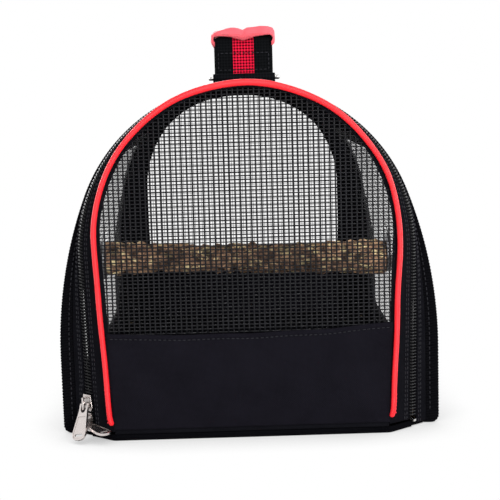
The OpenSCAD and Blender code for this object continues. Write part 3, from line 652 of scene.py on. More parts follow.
# ---- Window bindings -------------------------------------------------------------------------
# Bias tape folded over the raw edge of each window, so that it holds the net between its
# two halves, and sewn through with one row of lock stitches.
def stitches(name, line, over, pitch, length, body, finish, seed, closed=False, thick=0.3):
    """A row of lock stitches: short spindles of thread along a line, one every pitch, each dipping into
    the cloth at both ends and standing up along the over direction, with small uneven turns."""
    over = np.broadcast_to(over, line.shape)
    if closed:
        line = np.concatenate([line, line[:1]])
        over = np.concatenate([over, over[:1]])
    far = far_along(line)
    count = int(far[-1] // pitch)
    chance = np.random.default_rng(seed)
    centre = (np.arange(count) + 0.5) * far[-1] / count + chance.normal(0, 0.06, count)
    uneven = length * (1 + chance.normal(0, 0.05, count))[:, None]
    want = np.clip(centre[:, None] + uneven * np.array([-0.5, -0.34, 0, 0.34, 0.5]), 0, far[-1])
    path = np.stack([np.interp(want, far, line[:, k]) for k in range(3)], -1)
    lift = unit(np.stack([np.interp(want, far, over[:, k]) for k in range(3)], -1))
    path = path + lift * (thick * np.array([-1.1, 0.25, 0.75, 0.25, -1.1]))[:, None]
    across = unit(np.cross(path[:, -1] - path[:, 0], lift[:, 2]))
    turned = chance.normal(0, 0.07, count)[:, None] * np.array([-1, -0.6, 0, 0.6, 1])
    path = path + across[:, None] * turned[..., None]
    points, faces = tubes(path, thick * np.array([0, 0.9, 1, 0.9, 0]), lift, 5, 1.15)
    return build(name, points, [faces], body, finish)


# The colour follows the thread's twist, as the relief does: painted shade in its grooves and painted
# highlight on its ridges.
thread, tree, shader = finish_of("black_thread", shade(24, 24, 28), 0.6, 0.1)
place = add(tree, "ShaderNodeTexCoord").outputs["Object"]
twist = add(tree, "ShaderNodeTexWave", {"Vector": place, "Scale": 700.0, "Distortion": 1.5}).outputs[0]
surface(tree, shader, blend(tree, twist, shade(20, 20, 23), shade(44, 44, 49)), twist, 0.4, 0.0001)


def ribbed_tape(name, dark, light, rib, tilt):
    """Ribbed binding tape: slanting cords, dark between them and light on their crowns, which is painted
    shade and painted highlight that follow the cords' height, crossed by finer threads. tilt is how far a
    cord runs along the tape for each millimetre across it."""
    made, tree, shader = finish_of(name, dark, 0.72, 0.01)
    cloth, along, across = cloth_lengths(tree)
    sway = maths(tree, "MULTIPLY", grains(tree, cloth, 0.12, 2.0), 5.0)
    slant = maths(tree, "MULTIPLY_ADD", across, tilt, along)
    phase = maths(tree, "MULTIPLY_ADD", slant, 2 * np.pi / rib, sway)
    cord = maths(tree, "MULTIPLY_ADD", maths(tree, "SINE", phase), 0.5, 0.5)
    fine = maths(tree, "SINE", maths(tree, "MULTIPLY", across, 2 * np.pi / 0.55))
    raised = maths(tree, "MULTIPLY_ADD", fine, 0.12, cord)
    surface(tree, shader, blend(tree, cord, dark, light, clamp_factor=True), raised, 0.6, 0.0003)
    sheen(shader, 0.003)
    return made


tape_finish = ribbed_tape("binding_tape", shade(2, 2, 3), shade(13, 13, 16), 1.1, 0.25)
fold = np.array([[6.6, -0.2], [6.5, 0.55], [5.6, 0.8], [3.0, 0.95], [0.0, 1.05], [-1.8, 0.9],
                 [-2.8, 0.35], [-3.1, -0.6], [-3.1, -2.0], [-2.7, -2.9], [-1.6, -3.3], [2.0, -3.4],
                 [5.6, -3.2], [6.5, -2.9], [6.6, -2.2], [6.0, -1.2]])
over_edge = window_edge[:, None] + edge_out[:, None] * fold[None, :, :1]
seam = window_edge + edge_out * 4.9
for side, word in ((-1, "left"), (1, "right")):
    wave = 0.10 * np.sin(edge_far * 2 * np.pi / 3.0) + 0.12 * ripple(edge_far, edge_far * 0, 7 + side, 30)
    height = fold[None, :, 1] + wave[:, None] * (fold[None, :, 1] > 0)
    section = on_wall(side, over_edge[..., 0], over_edge[..., 1], -height)
    loft(f"{word}_window_binding", section, "carrier", tape_finish, around=True)
    for row, height in enumerate((0.82, -3.28)):
        stitches(f"{word}_window_stitches_{row + 1}", on_wall(side, seam[:, 0], seam[:, 1], -height),
                 [side * np.sign(height), 0, 0], 3.0, 2.3, "carrier", thread, closed=True, seed=row)


# ---- Roof ------------------------------------------------------------------------------------
# The curved top panel of the same padded cloth. It laps over the walls at the shoulders,
# where two rows of stitches hold it, and it is slack between the rims.
leg_stations = np.linspace(100, 240, 400)
shoulder = float(np.interp(wall_top, arch_at(wall, leg_stations)[1], leg_stations))
over_s = np.linspace(shoulder, run - shoulder, 130)
over_s = np.concatenate([over_s, over_s[::-1]])
under = np.arange(260) >= 130
roof_far = np.minimum(over_s - shoulder, run - shoulder - over_s)
grid_s, grid_y = np.meshgrid(over_s, np.linspace(-wall_end, wall_end, 170))
from_end = wall_end - np.abs(grid_y)
sewn = smooth_step(roof_far / 10) * smooth_step(from_end / 9)
tabs = np.exp(-((np.abs(grid_y) - 92) / 16) ** 2) * np.exp(-((grid_s - run / 2) / 30) ** 2)
waves = 0.45 * ripple(grid_y, grid_s, 41, 85) + 0.18 * ripple(grid_y, grid_s, 42, 26)
lift = sewn * (0.3 + waves) * (1 - tabs)
lift += 0.22 * np.sin(grid_y * 2 * np.pi / 8.2) * np.exp(-roof_far / 8) * smooth_step(roof_far / 2)
lift += 0.30 * np.sin(grid_s * 2 * np.pi / 9.5) * np.exp(-from_end / 7) * smooth_step(from_end / 3)
lift = np.clip(lift, -0.6, 0.75)
roof_hub_z = 105
x, z = arch_at(wall, grid_s)
normal = unit(np.stack([x, 0 * x, z - roof_hub_z], 2))
rest = np.where(under, -2.4, lift - 0.12 + 0.4 * np.exp(-roof_far / 3))
roof_skin = np.stack([x, grid_y, z], 2) + normal * rest[..., None]
roof = loft("roof_cloth", roof_skin, "carrier", oxford)
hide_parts("roof_panel")
for row, (inset, height) in enumerate(((2.2, 0.28), (6.4, 0.05))):
    for word, station in (("right", shoulder + inset), ("left", run - shoulder - inset)):
        line = arch_line(wall, np.full(300, station), np.linspace(-174, 174, 300))
        outwards = unit(line * [1, 0, 1] - [0, 0, roof_hub_z])
        stitches(f"roof_stitches_{word}_{row + 1}", line + outwards * height, outwards, 3.1, 2.4, "carrier",
                 thread, seed=5 + row)


# ---- Rim bindings ----------------------------------------------------------------------------
# Broad ribbed tape round each end of the tunnel. It closes the seam between the wall and
# the end gusset, and over the lower half it stands out as a stiff flange with round feet.
rim_s = np.linspace(0.2, run - 0.2, 1350)
tape_u, tape_v = squared(np.linspace(0, 2 * np.pi, 22, endpoint=False), 0.62)
foot_r = 5
into_foot = np.maximum(0, foot_r - np.minimum(rim_s, run - rim_s))
cut_back = foot_r - np.sqrt(np.maximum(0, foot_r ** 2 - into_foot ** 2))
root = arch_line(grown(wall, -2.3), rim_s, 0)
whole = arch_line(rim, rim_s, 0) - root
flange = whole * np.maximum(1 - cut_back / np.linalg.norm(whole, axis=1), 0.3)[:, None]
breadth = np.linalg.norm(flange, axis=1)[:, None]
slant = rim_s[:, None] + 0.25 * breadth * tape_u
rib_height = 0.17
ribs = rib_height * np.sin(slant * 2 * np.pi / 1.9 + 1.5 * ripple(rim_s, 0 * rim_s, 50, 40)[:, None])
ribs = ribs * smooth_step((tape_u + 1.0) / 0.6)
tape_share = 0.5 + 0.5 * tape_u
rolled = 1.28 + 0.22 * smooth_step((tape_share * breadth - breadth + 3.2) / 2.5)
warp = 0.35 * ripple(rim_s, 0 * rim_s, 51, 95)[:, None] * tape_share * smooth_step((breadth - 3) / 5)
reached = tape_share * (1 + 0.02 * ribs / rib_height)
for sign, word in ((-1, "front"), (1, "rear")):
    section = root[:, None] + flange[:, None] * reached[..., None]
    section[..., 1] += sign * 177.3 + sign * warp + (rolled + ribs) * tape_v
    section[..., 2] = np.maximum(section[..., 2], 0.15)
    binding = loft(f"{word}_rim_binding", section, "carrier", tape_finish)
    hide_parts(f"{word}_binding")
    seam = root + flange * 0.42 + [0, sign * 178.62, 0]
    stitches(f"{word}_rim_stitches", seam[20:-20], [0, sign, 0], 3.2, 2.4, "carrier", thread, seed=8)


# ---- Gussets ---------------------------------------------------------------------------------
# The end of the tunnel closes in to the door over a gusset in two halves with the zip
# between them. The rear gusset is one plain strip. All are oxford cloth, turned under
# along the zip and top-stitched, and they pucker a little where they go round the crown.
zip_y = -188.0


def heading(s):
    """Direction of the zip at station s."""
    return unit(arch_line(track, s + 0.5, 0) - arch_line(track, s - 0.5, 0))


def beside_zip(s, way, d):
    """Point d millimetres from the zip's middle on the way to an outline, given with its depth."""
    start = arch_line(track, s, zip_y)
    return start + unit(arch_line(way[0], s, way[1]) - start) * np.asarray(d, float)[..., None]


def strip(s, inner, outer, share, height):
    """Surface between two lines: share of the way across, and height over it, square to the zip."""
    across = outer - inner
    over = unit(np.cross(across, heading(s)))
    return inner[:, None] + across[:, None] * share[..., None] + over[:, None] * height[..., None], over


def gusset(name, s, inner, outer, body, seed):
    """A gusset strip with its thickness, a turned edge at share 0 that is fuller, and puckers that fade
    towards its outer seam."""
    share = np.broadcast_to(strip_share, (len(s), len(strip_share)))
    crown = np.exp(-((s - run / 2) / 120) ** 2)[:, None]
    wave = np.sin(s * 2 * np.pi / 7.4 + 2 * ripple(s, 0 * s, seed, 60))[:, None] * (0.10 + 0.16 * crown)
    wave = wave * (1 - share) * np.exp(-((share - 0.35) / 0.4) ** 2)
    slow = 0.28 * ripple(s[:, None], 40 * share, seed + 1, 55) * np.sin(np.pi * np.clip(share, 0, 1))
    turned = 0.16 * smooth_step((0.24 - share) / 0.05)
    height = strip_top * (gusset_thick / 2 + turned) + (wave + slow)
    made, over = strip(s, inner, outer, share, height)
    return loft(name, made, body, oxford), over


def top_stitches(names, insets, inner, outer, over, body, seed, pitch=2.9, length=2.2):
    """Rows of stitches beside a gusset's turned edge, on the face that looks up at the crown."""
    face = over if over[len(over) // 2, 2] > 0 else -over
    for row, (name, inset) in enumerate(zip(names, insets)):
        seam = inner + unit(outer - inner) * inset + face * 0.62
        stitches(name, seam, face, pitch, length, body, thread, seed=seed + row)


half_wall = grown(wall, -1.2)
piping_seam = grown(piping, -1.7)
wall_seam_y = 179.2
piping_seam_y = 199.1
# The ways that cloth and tape take from the zip, on the body and on the door: an outline and its depth.
zip_way_body = (half_wall, -178.6)
zip_way_door = (piping, -200.0)
gusset_thick = 1.1
cell = np.linspace(0, 1, 14)
strip_share = np.concatenate([cell, [1.03], cell[::-1], [-0.03]])
strip_top = np.concatenate([np.ones(14), [0], -np.ones(14), [0]])

# The strip on the body stands farther off the zip where the sliders are parked, at its left foot.
gusset_s = np.linspace(2.1, run - 2.1, 520)
zip_edge = 4.15 + 0.95 * smooth_step((34 - (run - gusset_s)) / 4)
inner = beside_zip(gusset_s, zip_way_body, zip_edge)
outer = arch_line(half_wall, gusset_s, -wall_seam_y)
front_gusset, over = gusset("front_gusset_cloth", gusset_s, inner, outer, "carrier", 60)
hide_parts("front_zip_gusset")
top_stitches(("front_gusset_stitches_1", "front_gusset_stitches_2"), (1.5, 3.2), inner, outer, over,
             "carrier", 9)

door_s = np.linspace(5.8, run - 5.8, 520)
inner = beside_zip(door_s, zip_way_door, np.full(len(door_s), 4.15))
outer = arch_line(piping_seam, door_s, -piping_seam_y)
door_gusset, over = gusset("door_gusset_cloth", door_s, inner, outer, "door", 64)
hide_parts("door_gusset")
top_stitches(("door_gusset_stitches_1", "door_gusset_stitches_2"), (1.5, 3.2), inner, outer, over, "door", 12)

rear_s = np.linspace(0.8, run - 0.8, 520)
inner = arch_line(piping_seam, rear_s, piping_seam_y)
outer = arch_line(half_wall, rear_s, wall_seam_y)
rear_gusset, over = gusset("rear_gusset_cloth", rear_s, inner, outer, "carrier", 68)
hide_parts("rear_gusset")
top_stitches(("rear_gusset_stitches",), (2.6,), inner, outer, over, "carrier", 15, 3.0, 2.3)


# ---- Zip -------------------------------------------------------------------------------------
# A black nylon coil zip round the door: a woven tape sewn along each gusset, and on each
# tape a coil of monofilament whose loops mesh with those of the other side.
nylon, tree, shader = finish_of("zip_nylon", shade(10, 10, 12), 0.36, 0.2)
place = add(tree, "ShaderNodeTexCoord").outputs["Object"]
wear = grains(tree, place, 90.0, 4.0)
tone = blend(tree, wear, shade(5, 5, 6), shade(15, 15, 18))
surface(tree, shader, tone, roughness=remap(tree, wear, 0.26, 0.5))
twill = ribbed_tape("zip_tape_weave", shade(3, 3, 4), shade(12, 12, 15), 0.75, 1.0)


def zip_tape(name, s, way, far, body, cad):
    """Flat tape from under the gusset's edge to the coil."""
    inner = beside_zip(s, way, np.full(len(s), 1.6))
    outer = beside_zip(s, way, far)
    share = np.broadcast_to([0, 0.33, 0.66, 1, 1, 0.66, 0.33, 0], (len(s), 8))
    height = np.broadcast_to(np.repeat([0.32, -0.32], 4), (len(s), 8))
    tape = loft(name, strip(s, inner, outer, share, height)[0], body, twill)
    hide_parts(cad)


def coil(name, way, shift, body, cad):
    """A flattened helix of monofilament: it goes from 0.75 mm past the zip's middle to 2.9 mm on its own
    side and back, one turn every 1.95 mm, so the two coils' loops stand between each other."""
    pitch = 1.95
    turns = int((run - 2 * coil_start) / pitch)
    a = np.linspace(0, turns * 2 * np.pi, turns * 12 + 1)
    s = coil_start + pitch * (a / (2 * np.pi) + shift)
    d = 1.08 + 1.83 * np.cos(a)
    start = arch_line(track, s, zip_y)
    away = unit(arch_line(way[0], s, way[1]) - start)
    over = unit(np.cross(away, heading(s)))
    path = start + away * d[:, None] + over * (0.82 * np.sin(a))[:, None]
    ahead = unit(np.gradient(path, axis=0))
    beside = unit(heading(s) - (heading(s) * ahead).sum(1, keepdims=True) * ahead)
    lift = np.cross(ahead, beside)
    b = np.arange(6) * np.pi / 3
    round_wire = 0.40 * (beside[:, None] * np.cos(b)[:, None] + lift[:, None] * np.sin(b)[:, None])
    made = loft(name, path[:, None] + round_wire, body, nylon)
    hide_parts(cad)


coil_start = 7.0
body_s = gusset_s[4:-4]
body_edge = zip_edge[4:-4] + 0.5
door_edge = np.full(len(door_s), 4.7)
zip_tape("zip_tape_on_body", body_s, zip_way_body, body_edge, "carrier", "zipper_tape_body")
zip_tape("zip_tape_on_door", door_s, zip_way_door, door_edge, "door", "zipper_tape_door")
coil("zip_coil_on_body", zip_way_body, 0.5, "carrier", "zipper_teeth_body")
coil("zip_coil_on_door", zip_way_door, 0.0, "door", "zipper_teeth_door")


# ---- Door ------------------------------------------------------------------------------------
# The door is a flat arch: a plain oxford panel below, its top edge folded over the net and
# sewn down, and the net above. Its foot is a rolled hem that turns on the base band.
panel_outline = grown(piping, -1.5)
panel_y = 200.0
net_y = 199.0
net_seam = 66.5


def end_panel(name, foot, seam_left, seam_mid, seam_right, face_y, facing, body, seed):
    """Sewn panel filling the arch from its foot to a seam that sags in the middle: a parabola through
    three heights. It swells a little outwards, is folded thicker along the seam and puckers there."""
    u = np.concatenate([np.linspace(-1, 1, 130), np.linspace(1, -1, 130)])
    back = np.arange(260) >= 130
    v = np.concatenate([np.linspace(0, 0.86, 40), np.linspace(0.88, 1, 26)])[:, None]
    top = seam_mid + (seam_right - seam_left) / 2 * u + ((seam_right + seam_left) / 2 - seam_mid) * u * u
    top = top + 0.35 * ripple(u * 90, 0 * u, seed, 45)
    z = foot + v * (top - foot)
    x = u * half_width(panel_outline, z)
    below = top - z
    side = half_width(panel_outline, z) - np.abs(x)
    soft = smooth_step(side / 16) * smooth_step(below / 10) * smooth_step((z - foot) / 10)
    swell = soft * (0.75 + 0.30 * ripple(x, z, seed + 1, 75) + 0.10 * ripple(x, z, seed + 2, 28))
    folded = 0.55 * smooth_step((3.6 - below) / 0.8)
    dimple = -0.42 * np.exp(-((below - 3.1) / 0.55) ** 2)
    pucker = 0.20 * np.sin(x * 2 * np.pi / 3.0 + 1.2 * ripple(x, 0 * x, seed + 3, 30))
    pucker = pucker * np.exp(-((below - 3.4) / 2.6) ** 2)
    drawn = 0.26 * np.sin(z * 2 * np.pi / 7.5 + 3 * u) * np.exp(-side / 5)
    fell = np.clip(swell + folded + dimple + pucker + drawn, -0.4, 1.6) * smooth_step(side / 1.5 + 0.2)
    y = face_y + facing * np.where(back, -1.9, fell)
    made = loft(name, np.stack([x, y, z], 2), body, panel_cloth)
    line_u = np.linspace(-0.975, 0.975, 420)
    line_z = np.interp(line_u, u[:130], top[:130]) - 3.1
    line_x = line_u * half_width(panel_outline, line_z)
    line = np.stack(np.broadcast_arrays(line_x, face_y + facing * 0.28, line_z), 1)
    stitches(name.replace("cloth", "stitches"), line, [0, facing, 0], 3.0, 2.25, body, thread, seed=seed)
    return made


def end_net(name, seam, y, facing, body, upright, cross, sway):
    """Net in the upper part of an end, from under the panel's folded edge to the piping. upright and cross
    give half a wire's thickness and how many times wider it is; sway is how far the cross wires weave."""
    legs = np.linspace(seam, 126.0, 60)
    columns = np.arange(-28, 29)
    levels = np.arange(int(seam / cross_pitch) + 1, 97)
    up_x = columns * upright_pitch
    cross_z = levels * cross_pitch

    def sagged(x, z, rise):
        """Places on the net, which hangs a little outwards in its middle."""
        sag = 0.7 * np.cos(x / 92 * 1.5) * np.sin(np.pi * np.clip((z - 66) / 152, 0, 1))
        return np.stack(np.broadcast_arrays(x, y + facing * sag + rise, z), 2)

    low = np.interp(np.abs(up_x), half_width(panel_outline, legs), legs)
    high = net_hub_z + np.sqrt(net_r ** 2 - up_x ** 2)
    up_z, rise, thick = wires(low, high, upright_step, columns % 2, 0.0)
    path = sagged(up_x[:, None], up_z, rise)
    uprights = tubes(path, upright[0] * thick, [0, facing, 0], wire_sides, upright[1])
    half = half_width(panel_outline, cross_z)
    cross_x, rise, thick = wires(-half, half, upright_pitch / 2, np.arange(len(levels)) % 2, sway)
    path = sagged(cross_x, cross_z[:, None], rise)
    crosses = tubes(path, cross[0] * thick, [0, facing, 0], wire_sides, cross[1])
    return net_piece(name, uprights, crosses, body)


net_hub_z = 126.5
net_r = 91.8
panel_cloth = black_cloth("panel_oxford", shade(9, 8, 11), shade(23, 22, 28), 0.72, 0.8, 0.004)
door_panel = end_panel("door_panel_cloth", 6.9, 68.0, 66.2, 70.6, -panel_y, -1, "door", 80)
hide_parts("door_lower_panel")
door_net = end_net("door_net", net_seam, -net_y, -1, "door", (0.16, 3.5), (0.17, 2.37), 0.28)
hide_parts("door_mesh")


def net_border(name, y, facing, leg, shoulder_width, crown_width, body):
    """Tape folded over the net's cut edge inside the piping. Its width goes from the leg's to the
    shoulder's between two heights, and a bell curve along the arch widens it to the crown's."""
    s = np.linspace(63, run - 63, 620)
    rise = np.minimum(s, run - s)
    bell = np.exp(-((s - run / 2) / 58) ** 2)
    width = leg + (shoulder_width - leg) * smooth_step((rise - 85) / 45)
    width = width + (crown_width - shoulder_width) * bell + 0.22 * ripple(s, 0 * s, 31, 48)
    out = unit(np.cross([0.0, 1.0, 0.0], heading(s)))
    start = arch_line(grown(piping, -0.9), s, y)
    share = np.array([0, 0.02, 0.35, 0.7, 0.96, 1, 0.96, 0.7, 0.35, 0.02])
    height = np.array([0, 1, 1.1, 1.05, 0.8, 0, -0.8, -1.05, -1.1, -1]) * 0.42
    wave = 0.08 * np.sin(s * 2 * np.pi / 5.5)[:, None] * share
    section = start[:, None] - out[:, None] * (width[:, None] * share)[..., None]
    section[..., 1] += (height + wave) * facing
    loft(name, section, body, oxford)


net_border("door_net_border", -net_y, -1, 3.0, 3.0, 2.6, "door")

hem_turn = np.linspace(0, 2 * np.pi, 16, endpoint=False)
hem_x = np.linspace(-85.4, 85.4, 220)[:, None]
turned_up = np.sin(hem_turn) > 0.3
hem_wave = 1.36 * (1 + 0.03 * np.sin(hem_x * 2 * np.pi / 3.1))
hem_y = -net_y + hem_wave * np.cos(hem_turn) * np.where(turned_up, 0.62, 1)
hem_z = 5.4 + hem_wave * np.sin(hem_turn) * np.where(turned_up, 1.25, 1)
hem = np.stack(np.broadcast_arrays(hem_x, hem_y, hem_z), 2)
door_hem = loft("door_hem_cloth", hem, "door", oxford)
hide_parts("door_hem")


# ---- Red piping ------------------------------------------------------------------------------
# Red polyester satin sewn over a cord, let into the seam round each end. It is round and
# taut over the crown; on the door its two ends are turned under above the hem.
satin, tree, shader = finish_of("red_satin", shade(236, 26, 44), 0.48, 0.45)
cloth, along, across = cloth_lengths(tree)
slant = maths(tree, "MULTIPLY_ADD", across, 0.7, along)
ridge = maths(tree, "SINE", maths(tree, "MULTIPLY", slant, 2 * np.pi / 0.42))
rank = maths(tree, "SINE", maths(tree, "MULTIPLY", across, 2 * np.pi / 0.6))
threads = maths(tree, "MULTIPLY_ADD", rank, 0.35, ridge)
tone = blend(tree, grains(tree, cloth, 0.09, 4.0), shade(208, 3, 17), shade(242, 15, 33))
surface(tree, shader, tone, threads, 0.28, 0.00012)
sheen(shader, 0.08, Roughness=0.35, Tint=(1.0, 0.55, 0.6, 1))


def covered_cord(name, foot, y, facing, body, cad, curl, seed):
    """Cord in its cloth along the arch: a round section with a low flange on the seam's side, slightly
    uneven in girth, its ends closed round and turned in by a curl."""
    tip = 0.9 * np.linspace(0, 1, 7) ** 1.6
    s = np.concatenate([foot + tip, np.linspace(foot + 1.5, run - foot - 1.5, 900), run - foot - tip[::-1]])
    end = np.minimum(s - foot, run - foot - s)
    girth = 1.68 * np.sqrt(np.clip(1 - (1 - np.clip(end / 1.5, 0, 1)) ** 2, 0.03, 1))
    girth = girth * (1 + 0.018 * ripple(s, 0 * s, seed, 9) + 0.012 * np.sin(s * 2 * np.pi / 3.0))
    centre = arch_line(piping, s, y)
    out = unit(np.cross([0.0, 1.0, 0.0], heading(s)))
    wander = 0.16 * ripple(s, 0 * s, seed + 1, 38) - 0.8 * curl * np.exp(-(end / 4.0) ** 2)
    centre = centre + out * wander[:, None]
    centre[:, 1] += -facing * curl * np.exp(-(end / 5.0) ** 2)
    b = np.linspace(0, 2 * np.pi, 18, endpoint=False)
    from_seam = np.angle(np.exp(1j * (b + facing * np.pi / 2)))
    r = girth[:, None] * (1 + 0.10 * np.exp(-(from_seam / 0.5) ** 2))
    crown = np.exp(-((s - run / 2) / 60) ** 2)[:, None]
    section = centre[:, None] + out[:, None] * (r * np.cos(b) * (1 + 0.2 * crown) - 0.3 * crown)[..., None]
    section[..., 1] += r * np.sin(b)
    made = loft(name, section, body, satin)
    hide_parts(cad)


piping_y = 201.65
covered_cord("door_red_piping", 10.3, -piping_y, -1, "door", "door_piping", 0.9, 90)
covered_cord("rear_red_piping", 2.4, piping_y, 1, "carrier", "rear_piping", 0.2, 94)

# The colour follows the thread's twist: painted shade in its grooves and painted highlight on its ridges,
# with no relief.
red_thread, tree, shader = finish_of("red_thread", shade(214, 26, 44), 0.6, 0.3)
place = add(tree, "ShaderNodeTexCoord").outputs["Object"]
twist = add(tree, "ShaderNodeTexWave", {"Vector": place, "Scale": 700.0, "Distortion": 1.5}).outputs[0]
surface(tree, shader, blend(tree, twist, shade(186, 14, 30), shade(238, 50, 66)))
for word, s in (("left", np.linspace(run - 11, run - 34, 90)), ("right", np.linspace(12, 26, 60))):
    foot = arch_line(grown(piping, 1.5), s, -200.5)
    out = unit(np.cross([0.0, 1.0, 0.0], heading(s)))
    stitches(f"piping_end_stitches_{word}", foot, out - [0, 0.6, 0], 2.3, 1.5, "door", red_thread,
             thick=0.36, seed=17)


# ---- Rear end --------------------------------------------------------------------------------
# The closed end has the door's panel, net and piping, but the panel runs down to the
# floor, where it is sewn to the bottom panel.
rear_panel = end_panel("rear_panel_cloth", 0.3, 68.0, 66.5, 68.0, panel_y, 1, "carrier", 100)
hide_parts("rear_lower_panel")
rear_net = end_net("rear_net", net_seam, net_y, 1, "carrier", (0.05, 4.2), (0.065, 2.5), 0.11)
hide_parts("rear_mesh")
net_border("rear_net_border", net_y, 1, 2.4, 4.4, 10.6, "carrier")


# ---- Sliders and pulls -----------------------------------------------------------------------
# Two die-cast sliders parked at the foot of the left leg, and their flared pulls. Zinc,
# tumbled so that every edge is rounded, then nickel-plated bright.
def bright(name, colour, roughness, scratches):
    """Plated metal: fine tumbling dents, scratches that change its gloss in short streaks, and painted
    shade that darkens its colour in corners and crevices.
    """
    made, tree, shader = finish_of(name, colour, roughness, 0.5, 1.0)
    place = add(tree, "ShaderNodeTexCoord").outputs["Object"]
    drawn = add(tree, "ShaderNodeMapping", {0: place, 3: (200.0, 1500.0, 1500.0)})
    streaks = grains(tree, drawn, 1.0, 4.0)
    gloss = remap(tree, streaks, roughness - scratches, roughness + scratches, 0.35, 0.7)
    # Painted shade: the colour darkens where other surfaces come within 5 mm, in corners and crevices.
    corner = add(tree, "ShaderNodeAmbientOcclusion", {"Distance": 0.005}, samples=8)
    crevice_painted_shade = remap(tree, corner.outputs["AO"], 0.22, 1.0, 0.25, 0.92)
    tone = blend(tree, 1.0, colour, crevice_painted_shade, blend_type="MULTIPLY")
    surface(tree, shader, tone, grains(tree, place, 900.0, 3.0), 0.15, 0.0001, gloss)
    return made


nickel = bright("plated_zinc", shade(212, 204, 201), 0.26, 0.08)
steel = bright("plated_steel", shade(205, 203, 201), 0.2, 0.06)
washer_zinc = bright("washer_zinc", shade(158, 158, 160), 0.34, 0.1)


def rounded_copy(name, cad, body, finish, width, segments=2):
    """The CAD part's own shape with its loose triangles joined and its edges rounded off."""
    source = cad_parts[cad]
    mesh = source.data.copy()
    mesh.transform(source.matrix_world)
    mesh.name = name
    points = np.empty(len(mesh.vertices) * 3)
    mesh.vertices.foreach_get("co", points)
    points = points.reshape(-1, 3)
    mesh.calc_loop_triangles()
    triangles = np.empty(len(mesh.loop_triangles) * 3, np.int32)
    mesh.loop_triangles.foreach_get("vertices", triangles)
    merged, where = np.unique(np.round(points, 6), axis=0, return_inverse=True)
    faces = where.ravel()[triangles].reshape(-1, 3)
    faces = faces[(faces[:, 0] != faces[:, 1]) & (faces[:, 1] != faces[:, 2]) & (faces[:, 0] != faces[:, 2])]
    bpy.data.meshes.remove(mesh)
    piece = build(name, merged * 1000, [faces], body, finish, smooth=False)
    joined = piece.modifiers.new("joined_faces", "DECIMATE")
    joined.decimate_type = "DISSOLVE"
    joined.angle_limit = np.radians(4)
    soft_edge = piece.modifiers.new("tumbled_edges", "BEVEL")
    soft_edge.width = width
    soft_edge.segments = segments
    soft_edge.limit_method = "ANGLE"
    soft_edge.angle_limit = np.radians(28)
    soft_edge.use_clamp_overlap = True
    even = piece.modifiers.new("even_normals", "WEIGHTED_NORMAL")
    even.keep_sharp = False
    for face in piece.data.polygons:
        face.use_smooth = True
    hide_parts(cad)


rounded_copy("upper_slider_metal", "upper_slider", "upper_slider", nickel, 0.00022)
rounded_copy("lower_slider_metal", "lower_slider", "lower_slider", nickel, 0.00022)
rounded_copy("upper_pull_metal", "upper_pull", "upper_pull", nickel, 0.0003, 3)
rounded_copy("lower_pull_metal", "lower_pull", "lower_pull", nickel, 0.0003, 3)
repaint("zipper_stops", steel)


# ---- Perch -----------------------------------------------------------------------------------
# A length of natural branch with its bark on, cut square and drilled at both ends for the
# studs. The bark is furrowed along the branch, flaked in places, with three pruned knots.
branch_end = 107.9
bark_a = np.linspace(0, 2 * np.pi, 120, endpoint=False)
grid_a, grid_x = np.meshgrid(bark_a, np.linspace(-branch_end, branch_end, 420))
taper = np.abs(grid_x) / 108.0
chance = np.random.default_rng(5)


def branch_waves(x, a, turns, length, start):
    """Waves that close round the branch: a whole number of turns about it, and a length along it."""
    return np.sin(a * turns + x * 2 * np.pi / length + start)


shape = 10.7 + 2.2 * taper ** 3 + 0.45 * branch_waves(grid_x, grid_a, 2, 190, 0.4)
shape += 0.30 * branch_waves(grid_x, grid_a, 1, 74, 2.0)


def lumps(seed, length):
    """Uneven bumps that close round the branch: two fields of waves, one read over its height and one
    over its depth."""
    over_height = ripple(grid_x, 12 * np.cos(grid_a), seed, length)
    return (over_height + ripple(grid_x, 12 * np.sin(grid_a), seed + 1, length)) / 2


def furrow_sway(k):
    """How the furrows of set k wander round the branch."""
    return (1.3 * branch_waves(grid_x, grid_a, 2, 37 + 7 * k, k)
            + 0.8 * branch_waves(grid_x, grid_a, 3, 17 + 3 * k, k))


furrow = 0
for k, (turns, length, size) in enumerate(((9, 130, 0.4), (14, -90, 0.34), (21, 60, 0.28), (27, -41, 0.22))):
    waves = branch_waves(grid_x, grid_a, turns, length, chance.uniform(0, 6))
    furrow = furrow + size * (1 - 2 * np.abs(waves * np.cos(furrow_sway(k))))
flake = 0.9 * lumps(201, 26) + 0.75 * lumps(203, 11)
flake += 0.5 * np.tanh(2.5 * lumps(205, 6)) + 0.3 * lumps(207, 3.6)
knots = 0
mean_r = 11.8
for x0, a0, wide in ((-31.0, 3.9, 8.0), (46.0, 4.6, 6.5), (12.0, 1.2, 7.0)):
    far = np.hypot(grid_x - x0, mean_r * np.angle(np.exp(1j * (grid_a - a0)))) / wide
    knots = knots + 1.5 * np.exp(-(far * 1.2) ** 2) - 1.2 * np.exp(-(far * 3.2) ** 2)
radius = shape + 0.55 * furrow + flake + knots
radius = radius - 0.7 * np.exp(-(branch_end - np.abs(grid_x)) / 1.2)
droop = np.interp(grid_x, [-108, -60, 0, 60, 108], [1.6, 0.6, -1.7, -2.9, -2.9])
branch = np.stack([grid_x, radius * np.sin(-grid_a), perch_z + droop + radius * np.cos(-grid_a)], 2)
bark, tree, shader = finish_of("bark", shade(70, 54, 45), 0.8, 0.25)
place = add(tree, "ShaderNodeTexCoord").outputs["Object"]
long_way = add(tree, "ShaderNodeMapping", {0: place, 3: (0.55, 1.0, 1.0)})
grain = grains(tree, long_way, 240.0, 8.0, Roughness=0.65, Distortion=0.8)
flake_size = {"Vector": long_way, "Scale": 330.0}
scales = add(tree, "ShaderNodeTexVoronoi", flake_size)
cracks = add(tree, "ShaderNodeTexVoronoi", flake_size, feature="DISTANCE_TO_EDGE").outputs[0]
